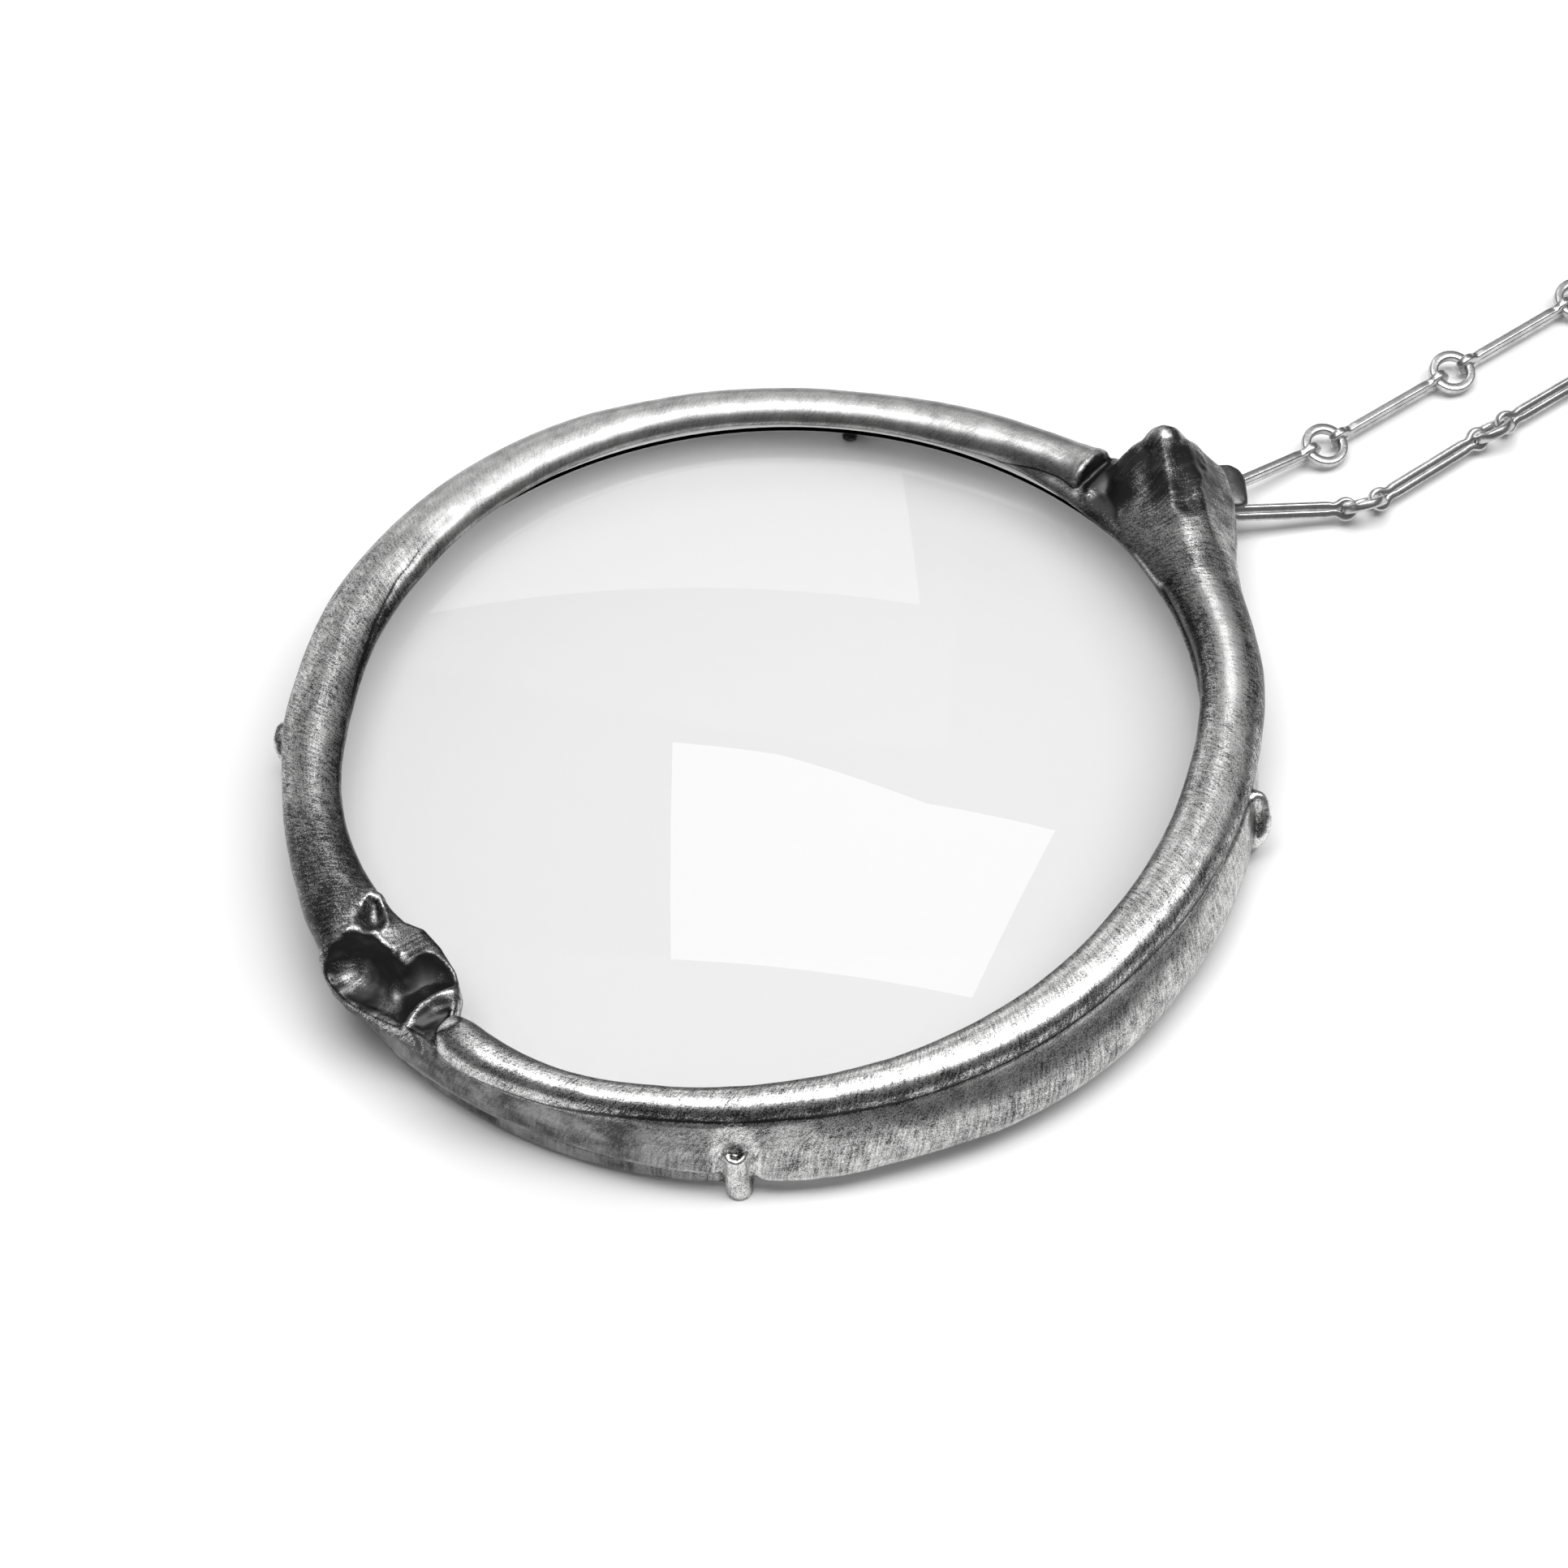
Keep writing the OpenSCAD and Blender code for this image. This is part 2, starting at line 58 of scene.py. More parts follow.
# %% [markdown]
# ## From millimetres to a mesh
#
# All shapes below are worked out in millimetres round the middle of the glass, with azimuth 0 to the
# right. A mesh could be typed in, sculpted by hand or computed. Here each one is computed, and one
# helper turns its points and faces into an object that already lies in its place, so that the object
# itself stays at the origin.

# %% Two helpers for every piece
def placed(points):
    """Points given in mm round the glass, in metres in the part's own frame."""
    return ((np.asarray(points) + middle) * MM).tolist()


def piece(name, points, faces):
    """A smooth-shaded object in its place."""
    mesh = bpy.data.meshes.new(name)
    mesh.from_pydata(placed(points), [], faces)
    mesh.validate()
    mesh.shade_smooth()
    made = bpy.data.objects.new(name, mesh)
    bpy.context.scene.collection.objects.link(made)
    return made


def polar(azimuth, radius, height):
    """Points from their azimuth in degrees, their radius and their height."""
    a = np.radians(azimuth)
    return np.stack(np.broadcast_arrays(radius * np.cos(a), radius * np.sin(a), height), -1)


print("a point 30 mm out at azimuth 90:", polar(90, 30, 0).round(2))

# %% [markdown]
# ## The tables of the casting
#
# The two bones, the lip between them and the skirt under them are each a row of cross-sections round
# the ring. A table row gives one cross-section. Between the rows a smooth curve fills in, the same
# rule as in the solid model, so that the finer surface keeps to the same outline.

# %% The bone over the far side and the left
# Columns: azimuth, radius, height, half width, half height
BONE_A = np.array([
    [41.6, 31.0, 6.0, 1.55, 1.2], [42.2, 31.0, 6.1, 1.75, 1.45], [43.8, 31.0, 6.05, 1.7, 1.35],
    [46, 30.8, 6.0, 1.6, 1.3], [52, 30.25, 6.0, 1.6, 1.3], [60, 29.75, 6.0, 1.65, 1.25],
    [69, 29.4, 6.0, 1.5, 1.15], [77, 29.25, 6.0, 1.45, 1.1], [86, 29.25, 6.0, 1.45, 1.1],
    [94, 29.38, 6.0, 1.49, 1.1], [102, 29.45, 6.0, 1.55, 1.15], [111, 29.6, 6.0, 1.75, 1.2],
    [120, 29.65, 6.0, 1.85, 1.25], [130, 29.62, 6.0, 2.0, 1.3], [141, 29.5, 6.0, 2.1, 1.4],
    [153, 29.43, 6.0, 2.15, 1.4], [165, 29.2, 6.0, 2.15, 1.4], [172, 29.25, 6.0, 2.15, 1.4],
    [179, 29.3, 6.0, 1.95, 1.35], [188, 29.4, 6.0, 1.95, 1.4], [197, 29.5, 6.0, 2.2, 1.6],
    [203, 29.6, 6.0, 2.5, 1.8], [209, 29.6, 5.9, 2.4, 1.6], [212, 29.6, 5.8, 1.8, 1.2],
])
print("bone A has", len(BONE_A), "cross-sections")

# %% The bone along the near side and the right
# Columns: azimuth, radius, height, half width, half height
BONE_B = np.array([
    [-135.6, 30.0, 5.7, 0.6, 0.55], [-134.8, 30.0, 5.8, 1.2, 1.15], [-132.5, 30.15, 5.9, 1.5, 1.45],
    [-129, 30.3, 6.0, 1.5, 1.4], [-123, 30.25, 6.0, 1.3, 1.25], [-117, 30.1, 6.0, 1.2, 1.2],
    [-107, 29.65, 6.0, 1.25, 1.3], [-95, 29.25, 6.0, 1.4, 1.4], [-85, 28.9, 6.0, 1.5, 1.4],
    [-75, 28.7, 6.0, 1.6, 1.4], [-66, 28.5, 6.0, 1.7, 1.4], [-57, 28.4, 6.0, 1.78, 1.4],
    [-47, 28.3, 6.0, 1.85, 1.4], [-38, 28.35, 6.0, 1.95, 1.4], [-28, 28.6, 6.0, 2.05, 1.4],
    [-19, 28.95, 6.0, 2.1, 1.4], [-10, 29.38, 6.0, 2.15, 1.5], [-4, 29.8, 6.0, 2.1, 1.6],
    [3, 30.27, 6.0, 2.1, 1.7], [9, 30.55, 6.0, 2.1, 1.8], [15, 30.75, 5.9, 2.2, 1.95],
    [20, 31.05, 5.85, 2.4, 2.05], [25, 31.3, 5.8, 2.45, 2.0], [29, 31.3, 5.6, 2.2, 1.7],
    [34, 31.0, 5.2, 1.6, 1.2],
])
BONE_UNDER = 0.75
print("bone B has", len(BONE_B), "cross-sections; both are", BONE_UNDER, "as deep below their middle")

# %% The lip over the glass, and the skirt
# Columns: azimuth, radius, height, half width, half height
LIP = np.array([
    [-8, 28.9, 5.1, 0.6, 0.4], [2, 29.2, 5.3, 1.1, 0.65], [12, 29.45, 5.3, 1.15, 0.75],
    [22, 29.6, 5.3, 1.15, 0.75], [32, 29.7, 5.35, 1.15, 0.75], [42, 29.7, 5.4, 1.2, 0.75],
    [54, 29.7, 5.5, 1.0, 0.7],
])
# Columns: azimuth, top radius, top height, belly radius, lip radius, lip height, foot height
SKIRT = np.array([
    [-180, 30.9, 5.6, 31.1, 31.2, 2.0, 0.9], [-160, 31.0, 5.6, 31.15, 31.2, 2.0, 0.7],
    [-142, 31.2, 5.7, 31.5, 31.6, 2.0, 0.5], [-128, 31.45, 6.1, 31.55, 31.5, 2.1, 0.4],
    [-116, 31.2, 6.2, 31.4, 31.35, 2.1, 0.4], [-101, 31.0, 6.3, 31.5, 31.6, 2.1, 0.5],
    [-93, 30.7, 6.4, 31.5, 31.65, 1.6, 0.9], [-86, 30.35, 6.4, 31.5, 31.7, 1.6, 1.2],
    [-76, 30.2, 6.25, 31.6, 31.6, 1.8, 1.4], [-66, 30.1, 6.15, 31.7, 31.8, 1.8, 1.4],
    [-57, 30.05, 6.15, 31.75, 31.9, 1.8, 1.4], [-47, 30.0, 6.15, 31.7, 31.75, 1.8, 1.4],
    [-38, 30.1, 6.1, 31.6, 31.67, 1.8, 1.4], [-28, 30.5, 5.8, 31.6, 31.6, 1.8, 1.4],
    [-19, 31.05, 5.2, 31.6, 31.6, 1.8, 1.4], [-10, 31.4, 4.8, 31.6, 31.6, 1.9, 1.4],
    [0, 31.4, 5.0, 31.5, 31.4, 2.0, 1.4], [30, 31.3, 5.4, 31.4, 31.3, 2.0, 1.4],
    [60, 30.7, 5.6, 31.1, 31.2, 2.0, 1.2], [90, 30.5, 5.6, 30.95, 31.15, 2.0, 1.1],
    [130, 30.8, 5.6, 31.1, 31.2, 2.0, 1.0], [180, 30.9, 5.6, 31.1, 31.2, 2.0, 0.9],
])
BAND_IN = 30.05
BAND_OUT = 31.1
print("the lip has", len(LIP), "cross-sections, the skirt", len(SKIRT))

# %% Sizes of the glass
GLASS_R = 29.9
RIM_LOW = 0.9
RIM_TOP = 4.2
CROWN = 3.0
BELLY = 0.7
print("the glass reaches from", round(RIM_LOW - BELLY, 2), "to", RIM_TOP + CROWN, "mm")

# %% Read a table smoothly
def wrapped(azimuth, around):
    """The same azimuth, within half a turn of another one."""
    return (azimuth - around + 180) % 360 - 180 + around


def look(table, key):
    """Smooth values of a table's columns at a key."""
    i = np.clip(np.searchsorted(table[:, 0], key, "right") - 1, 0, len(table) - 2)
    u = (key - table[i, 0]) / (table[i + 1, 0] - table[i, 0])
    rows = [table[np.clip(i + k, 0, len(table) - 1)] for k in (-1, 0, 1, 2)]
    out = []
    for c in range(1, table.shape[1]):
        a, b, d, e = (row[..., c] for row in rows)
        out.append(b + 0.5 * u * (d - a + u * (2 * a - 5 * b + 4 * d - e + u * (3 * (b - d) + e - a))))
    return out


print("bone A at 165 degrees:", [round(float(v), 2) for v in look(BONE_A, np.array(165.0))])

# %% [markdown]
# ## A casting as one distance field
#
# The real bezel was carved in wax and cast, so bones, knobs and skirt run into each other with soft
# fillets in some places and sharp seams in others. Separate meshes pushed through each other would
# show hard cuts everywhere. A distance field gives each form a formula for how far a point is from
# its surface. Then the smaller of two distances joins forms, and a soft minimum joins them with a
# fillet of any size. The next cells write that formula, part by part.

# %% Soft joins
def join(a, b, k):
    """Both forms, with a fillet of about k."""
    h = np.maximum(k - np.abs(a - b), 0) / k
    return np.minimum(a, b) - h * h * k / 4


def carve(a, b, k):
    """Form a without form b, with the edge softened over about k."""
    return -join(-a, b, k)


def cut_back(form, other, k):
    """What both forms share, with the edge rounded over about k."""
    return -join(-form, -other, k)


print("where two faces meet, a fillet of 0.4 fills", -round(float(join(0.0, 0.0, 0.4)), 2), "mm")

# %% A swept oval and a rod
def swept(table, azimuth, r, z):
    """A bone's shaft: an oval that is flatter underneath, swept along its table."""
    first, last = table[0, 0], table[-1, 0]
    at = wrapped(azimuth, (first + last) / 2)
    held = np.clip(at, first, last)
    radius, height, wide, tall = look(table, held)
    dr, dz = r - radius, z - height
    tall = tall * np.where(dz < 0, BONE_UNDER, 1)
    near = np.sqrt((dr / wide) ** 2 + (dz / tall) ** 2)
    steep = np.sqrt((dr / wide ** 2) ** 2 + (dz / tall ** 2) ** 2)
    d = near * (near - 1) / np.maximum(steep, 1e-6)
    past = np.abs(at - held) * math.pi / 180 * radius
    return np.where(past > 0, np.hypot(np.maximum(d, 0), past), d)


def rod(x, y, z, a, b, size_a, size_b=None):
    """A rod with round ends from a to b; it may taper."""
    size_b = size_a if size_b is None else size_b
    d = [b[i] - a[i] for i in range(3)]
    along = ((x - a[0]) * d[0] + (y - a[1]) * d[1] + (z - a[2]) * d[2]) / sum(v * v for v in d)
    t = np.clip(along, 0, 1)
    gap = np.sqrt(sum((p - a[i] - t * d[i]) ** 2 for i, p in enumerate((x, y, z))))
    return gap - size_a - t * (size_b - size_a)


print("1 mm above bone B's top at the near side:", swept(BONE_B, np.array(-95.0), 29.25, 8.4).round(2))

# %% [markdown]
# ## Skirt and prongs
#
# Under the bones a thin wall goes all the way round, with a belly and a flared lip below. Four prongs
# grow out of it and turn in under the glass. The near and the far one are upright wires, cut off at
# the top, the near one with a pit in its cut. The left and the right one were pressed flat into thin
# ears. Formulas suit them better than modelling each one, because their roots melt into the wall.

# %% The skirt and the room for the glass
def skirt_form(azimuth, r, z):
    """The wall: a curve through its top, belly and lip, cut off at its foot."""
    top_r, top_z, belly, lip_r, lip_z, foot = look(SKIRT, wrapped(azimuth, 0))
    t = np.clip((z - lip_z) / (top_z - lip_z), 0, 1.1)
    wall = lip_r * (1 - t) * (1 - 2 * t) + belly * 4 * t * (1 - t) + top_r * t * (2 * t - 1)
    under = np.clip((lip_z - z) / 0.16, 0, 1)
    wall = wall * (1 - under) + np.minimum(wall, BAND_OUT) * under
    shell = cut_back(r - wall, BAND_IN - r, 0.2)
    shell = cut_back(shell, foot - z, 0.3)
    return cut_back(shell, z - top_z + 0.25 * (r - top_r), 0.3)


def glass_room(r, z):
    """The glass with a little play round it, to be cut out of the casting."""
    big = (GLASS_R ** 2 + CROWN ** 2) / (2 * CROWN)
    dome = np.hypot(r, z - (RIM_TOP + CROWN - big)) - big - 0.06
    return np.maximum(np.maximum(dome, r - GLASS_R - 0.1), RIM_LOW - 0.15 - z)


print("skirt at the near side, outside and inside:",
      [round(float(skirt_form(np.array(-90.0), np.array(v), np.array(3.0))), 2) for v in (33.0, 30.6)])

# %% The upright prongs
# Columns: azimuth, radius, rise of the cut top
PRONGS = [(-97, 31.1, 0.1), (76.2, 31.05, 0)]
PRONG_R = 0.88
PRONG_TOP = 3.95
PIT_Z = 4.2
PIT_R = 0.62


def around_prong(x, y, azimuth, radius):
    """Distances outwards and sideways from a prong's middle line."""
    a = math.radians(azimuth)
    dx, dy = x - radius * math.cos(a), y - radius * math.sin(a)
    return dx * math.cos(a) + dy * math.sin(a), dy * math.cos(a) - dx * math.sin(a)


def prong_foot(u, v, z):
    """The flat foot that reaches in under the glass."""
    return rod(u, v, z * 1.5, (-0.4, 0, 0.75), (-1.15, 0, 0.75), 0.7, 0.5)


def prong_form(x, y, z, azimuth, radius, rise):
    """An upright wire with a slanting cut top, a pit in the cut, and a foot."""
    u, v = around_prong(x, y, azimuth, radius)
    round_wall = np.hypot(u + 0.03 * z, v) - PRONG_R - 0.04 * np.sin(3 * v + 2 * z)
    cut = z - PRONG_TOP - rise + 0.42 * u - 0.12 * v
    upright = cut_back(round_wall, cut, 0.12)
    pit = np.sqrt((u * 1.1) ** 2 + (v * 1.1) ** 2 + ((z - PIT_Z - rise) / 1.1) ** 2) - PIT_R
    upright = carve(upright, pit, 0.12)
    return join(upright, prong_foot(u, v, z), 0.3)


print("upright prongs at azimuths", [p[0] for p in PRONGS])

# %% The prongs pressed into ears
# Columns: azimuth, radius, sideways place and height of the upper end, the same of the lower end,
# reach outwards, thickness, dented side
EARS = [
    (-13.2, 31.6, 0.75, 4.95, -0.9, 1.25, 1.1, 0.75, -1),
    (170.2, 31.6, -0.55, 4.7, 0.75, 2.0, 0.9, 0.65, 1),
]


def egg(p, q, r, sizes):
    """Distance to an egg-shaped form round 0, with its three half sizes."""
    near = np.sqrt((p / sizes[0]) ** 2 + (q / sizes[1]) ** 2 + (r / sizes[2]) ** 2)
    return (near - 1) * min(sizes)


def ear_form(x, y, z, azimuth, radius, side_a, top, side_b, low, reach, thick, dented):
    """A thin ear with a dent behind its edge, and the leg that joins it to its foot."""
    u, v = around_prong(x, y, azimuth, radius)
    half = math.hypot(side_b - side_a, low - top) / 2
    dv, dz = (side_b - side_a) / (2 * half), (low - top) / (2 * half)
    v0, z0 = v - (side_a + side_b) / 2, z - (top + low) / 2
    along, across = v0 * dv + z0 * dz, (-v0 * dz + z0 * dv) * dented
    ear = egg(u, along, across, (reach, half, thick))
    dent = egg(u - 0.3 * reach, along + 0.3 * half, across - 1.05 * thick,
               (0.6 * reach, 0.95 * half, 0.75 * thick))
    ear = carve(ear, dent, 0.15)
    leg = rod(u, v, z, (-0.1, 0.7 * side_b, low + 0.5), (-0.4, 0, 0.5), 0.5)
    return join(join(ear, leg, 0.3), prong_foot(u, v, z), 0.3)


print("pressed prongs at azimuths", [ear[0] for ear in EARS])

# %% [markdown]
# ## The hollow knob
#
# Bone A ends at the lower left in a broken, hollow joint: a swelling with three scooped facets,
# thin crests between them and a small cup above. It is built the way a carver would block it out. It
# starts as a slab with an outline that was read off the ring, and its bowls are scooped out of it.
# A bowl is an outline too. Its floor falls away from that outline, and a hump or two rise from it.

# %% Outlines of the knob and its bowls
KNOB_A = np.array([
    (-25.9, -11.3), (-24.5, -11.7), (-23.4, -13.0), (-22.2, -13.75), (-21.2, -15.2), (-20.35, -17.0),
    (-20.1, -18.4), (-20.3, -19.4), (-20.6, -20.4), (-21.6, -21.8), (-22.7, -21.7), (-23.9, -20.9),
    (-25.0, -20.1), (-26.3, -19.0), (-27.5, -17.9), (-28.3, -16.7), (-28.9, -15.2), (-29.0, -13.5),
    (-28.0, -11.8),
])
BIG_BOWL = [
    (-29.3, -14.9), (-29.3, -15.9), (-28.7, -17.1), (-28.1, -17.9), (-27.2, -18.7), (-26.5, -19.2),
    (-25.5, -19.8), (-24.6, -20.4), (-23.8, -20.75), (-23.45, -20.1), (-22.95, -19.4), (-22.0, -18.9),
    (-21.1, -18.65), (-19.7, -18.4), (-19.9, -17.3), (-20.6, -16.4), (-21.5, -16.0), (-22.6, -15.9),
    (-23.35, -16.3), (-23.7, -15.95), (-24.5, -15.4), (-25.5, -14.95), (-26.6, -14.75),
    (-27.6, -15.05), (-28.3, -15.1),
]
SMALL_BOWL = [
    (-19.9, -18.75), (-21.9, -19.15), (-22.8, -19.8), (-23.3, -20.6), (-22.9, -21.3), (-21.7, -21.3),
    (-20.6, -20.8), (-19.8, -19.6),
]
CUP = [
    (-25.4, -11.75), (-25.65, -12.4), (-25.8, -13.1), (-25.55, -13.6), (-25.0, -13.65),
    (-24.65, -13.2), (-24.8, -12.4), (-25.15, -11.8),
]
# Columns: rim, depth, how gently its wall falls, humps in its floor as x, y, size, height
BOWLS_A = [
    (BIG_BOWL, 1.3, 0.9, [(-23.75, -16.2, 0.7, 0.3), (-27.2, -16.6, 0.5, 0.12)]),
    (SMALL_BOWL, 0.8, 0.8, []),
    (CUP, 0.5, 0.5, []),
]
print("the knob has", len(BOWLS_A), "hollows")

# %% Distance from an outline, and the bowl's form
def plan_gap(x, y, outline):
    """Distance from an outline seen from above, below 0 inside it."""
    near, inside = None, False
    for (ax, ay), (bx, by) in zip(outline, np.roll(outline, -1, 0)):
        ex, ey, wx, wy = bx - ax, by - ay, x - ax, y - ay
        t = np.clip((wx * ex + wy * ey) / (ex * ex + ey * ey), 0, 1)
        gap = (wx - ex * t) ** 2 + (wy - ey * t) ** 2
        near = gap if near is None else np.minimum(near, gap)
        inside = inside ^ (((y >= ay) != (y >= by)) & ((ex * wy > ey * wx) == (by > ay)))
    return np.where(inside, -1, 1) * np.sqrt(near)


def above_knob(x, y, z):
    """Height over the knob's sloping top."""
    return z - 7.35 - 0.225 * ((x + 22) * 0.63 + (y + 14) * 0.77)


def bowl(x, y, z, rim, depth, gentle, humps):
    """The hollow of a broken facet: it falls away from its rim and flattens out inside."""
    inward = -plan_gap(x, y, rim)
    fall = depth * np.where(inward > 0, 1 - np.exp(-np.maximum(inward, 0) / gentle), inward / gentle)
    for hx, hy, size, up in humps:
        fall = fall - up * np.exp(-((x - hx) ** 2 + (y - hy) ** 2) / (2 * size ** 2))
    return (-above_knob(x, y, z) - fall) * 0.7


print("the big bowl's middle lies", -plan_gap(-25.0, -17.0, BIG_BOWL).round(2), "mm inside its rim")

# %% The knob
def knob_a(x, y, z):
    """The slab with its rounded shoulder, and the stem of the cup."""
    top = above_knob(x, y, z)
    slab = cut_back(cut_back(plan_gap(x, y, KNOB_A), top, 1.3), 4.0 - z, 0.8)
    return join(slab, rod(x, y, z, (-25.4, -11.5, 6.85), (-25.35, -13.3, 6.85), 0.75, 1.0), 0.3)


print("over the knob's middle, at a height of 8.7 mm:", knob_a(-24.0, -17.0, 8.7).round(2))

# %% [markdown]
# ## The head
#
# Bone B ends at the upper right in a head with a sharp ridge between two hollows. It starts as a
# block with flat faces between a few corners, as a carver saws it. Blender's convex hull gives those
# faces. Two tapered rods scoop the hollows, and thin rods lay the crest and the bead on it.

# %% The head's corners and planes
CORNERS = [
    (27.1, 21.55, 9.1), (28.5, 21.5, 9.1), (24.7, 20.9, 6.9), (23.5, 19.6, 5.8), (23.7, 17.4, 5.7),
    (25.1, 14.0, 5.7), (26.6, 11.0, 6.0), (30.4, 20.8, 7.0), (31.7, 20.9, 5.4), (32.2, 19.0, 5.0),
    (31.9, 16.0, 5.4), (31.75, 12.8, 5.6), (31.3, 10.2, 5.6), (28.6, 14.0, 7.9), (30.2, 13.5, 7.8),
    (28.8, 10.5, 7.6), (24.5, 20.5, 4.2), (28.5, 22.3, 4.6), (31.7, 21.2, 3.6), (31.9, 14.4, 3.8),
    (31.2, 10.6, 4.3), (25.5, 14.2, 4.4), (27.2, 11.0, 4.4),
]


def block(corners):
    """Planes of the hull round some corners, each as a direction and a distance."""
    shell = bmesh.new()
    for c in corners:
        shell.verts.new(c)
    bmesh.ops.convex_hull(shell, input=shell.verts)
    inside = Vector(np.mean(corners, 0))
    planes = []
    for f in shell.faces:
        f.normal_update()
        n = f.normal if f.normal.dot(f.verts[0].co - inside) > 0 else -f.normal
        planes.append((*n, n.dot(f.verts[0].co)))
    shell.free()
    return sorted(planes)


HEAD = block(CORNERS)
print("the head's block has", len(HEAD), "planes")

# %% The head's form
# Each rod: from, to, radius at both ends
SCOOPS_B = [
    ((26.0, 22.6, 10.3), (26.0, 16.6, 8.85), 1.6, 1.5),
    ((29.6, 21.6, 10.1), (28.9, 15.6, 9.1), 1.5, 1.1),
]
RIDGE_TOP = ((27.45, 21.25, 8.5), (28.3, 21.15, 8.55), 0.62)
RIDGE_UPPER = ((27.9, 21.0, 8.6), (27.5, 18.6, 8.0), 0.6, 0.25)
RIDGE_LOWER = ((27.5, 18.6, 8.0), (27.3, 16.0, 7.2), 0.25)
BEAD = ((24.4, 21.2, 5.55), (22.7, 19.3, 5.5), 1.0, 0.95)


def head(x, y, z):
    """The block with its edges rounded, its hollows, its crest and its bead."""
    form = None
    for nx, ny, nz, far in HEAD:
        plane = nx * x + ny * y + nz * z - far
        form = plane if form is None else cut_back(form, plane, 0.35)
    form = form - 0.2
    for scoop in SCOOPS_B:
        form = carve(form, rod(x, y, z, *scoop), 0.6)
    crest = join(rod(x, y, z, *RIDGE_TOP), rod(x, y, z, *RIDGE_UPPER), 0.4)
    crest = join(crest, rod(x, y, z, *RIDGE_LOWER), 0.3)
    form = join(form, crest, 0.6)
    return join(form, rod(x, y, z, *BEAD), 0.5)


print("over the head's crest, at a height of 10 mm:", round(float(head(27.9, 21.2, 10.0)), 2))

# %% [markdown]
# ## All forms together
#
# The order matters. The near prong stands in a notch of the skirt. The knob's bowls are cut before
# bone B comes, because its round end lies below them. The glass's room is cut last, so that every
# form that reaches in is trimmed by it. Each costly form is worked out only in its own part of the ring.

# %% The whole casting
NOTCH = (-97, 32.55)
NOTCH_R = 1.55
# From azimuth, to azimuth
NEAR_PRONG = (-103, -91)
KNOB_PART = (192, 232)
LIP_PART = (-10, 58)
HEAD_PART = (8, 50)


def casting(azimuth, r, z):
    """Distance to the surface of the bezel with its bones."""
    a = np.radians(azimuth)
    x, y = r * np.cos(a), r * np.sin(a)

    def near(low, high):
        at = wrapped(azimuth, (low + high) / 2)
        return bool(((at > low) & (at < high)).any())

    form = skirt_form(azimuth, r, z)
    if near(*NEAR_PRONG):
        form = carve(form, np.hypot(*around_prong(x, y, *NOTCH)) - NOTCH_R, 0.7)
    bone_a = swept(BONE_A, azimuth, r, z)
    if near(*KNOB_PART):
        bone_a = join(bone_a, knob_a(x, y, z), 0.5)
    form = join(form, bone_a, 0.12)
    if near(*KNOB_PART):
        for b in BOWLS_A:
            form = carve(form, bowl(x, y, z, *b), 0.1)
    if near(*LIP_PART):
        form = join(form, swept(LIP, azimuth, r, z), 0.3)
    bone_b = swept(BONE_B, azimuth, r, z)
    if near(*HEAD_PART):
        bone_b = join(bone_b, head(x, y, z), 0.9)
    form = join(form, bone_b, 0.12)
    for p in PRONGS:
        if near(p[0] - 6, p[0] + 6):
            form = join(form, prong_form(x, y, z, *p), 0.25)
    for ear in EARS:
        if near(ear[0] - 7, ear[0] + 7):
            form = join(form, ear_form(x, y, z, *ear), 0.3)
    form = carve(form, glass_room(r, z), 0.05)
    return np.maximum(form, -z)


print("1 mm above bone A:", casting(np.array([165.0]), np.array([29.2]), np.array([8.4])).round(2))

# %% [markdown]
# ## A skin on a ring-shaped grid
#
# The field is sampled on a grid that is bent into a ring: azimuth, radius and height. Its steps are
# finer at the knobs and near the top, where the carving is. Each grid cell that the surface passes
# through gets one point, at the mean of the places where it crosses the cell's edges, and each
# crossed edge gets one four-sided face. Blender could skin a volume too, but its grid is straight
# and even, which costs many more points on a ring. The points are then pulled onto the exact surface.

# %% The ring-shaped grid
def steps(stops):
    """Grid lines between stops, each followed by the spacing up to the next."""
    lines = []
    for (low, gap), (high, _) in zip(stops, stops[1:]):
        n = max(1, round((high - low) / gap))
        lines += [low + (high - low) * k / n for k in range(n)]
    return np.array(lines)


START = 33
DEG = math.degrees(1 / 31)
GRID_A = steps([
    (START, 0.17 * DEG), (50, 0.32 * DEG), (195, 0.15 * DEG), (230, 0.3 * DEG), (262, 0.2 * DEG),
    (264.5, 0.32 * DEG), (345, 0.2 * DEG), (350, 0.3 * DEG), (364, 0.17 * DEG), (START + 360, 0),
])
GRID_R = steps([(25.2, 0.18), (29.6, 0.2), (38.8, 0)])
GRID_Z = steps([(-0.3, 0.3), (3.6, 0.17), (7.4, 0.2), (10.2, 0)])
ZONES = [(START, 60), (60, 190), (190, 234), (234, 350), (350, START + 360)]
print("grid lines", len(GRID_A), len(GRID_R), len(GRID_Z))

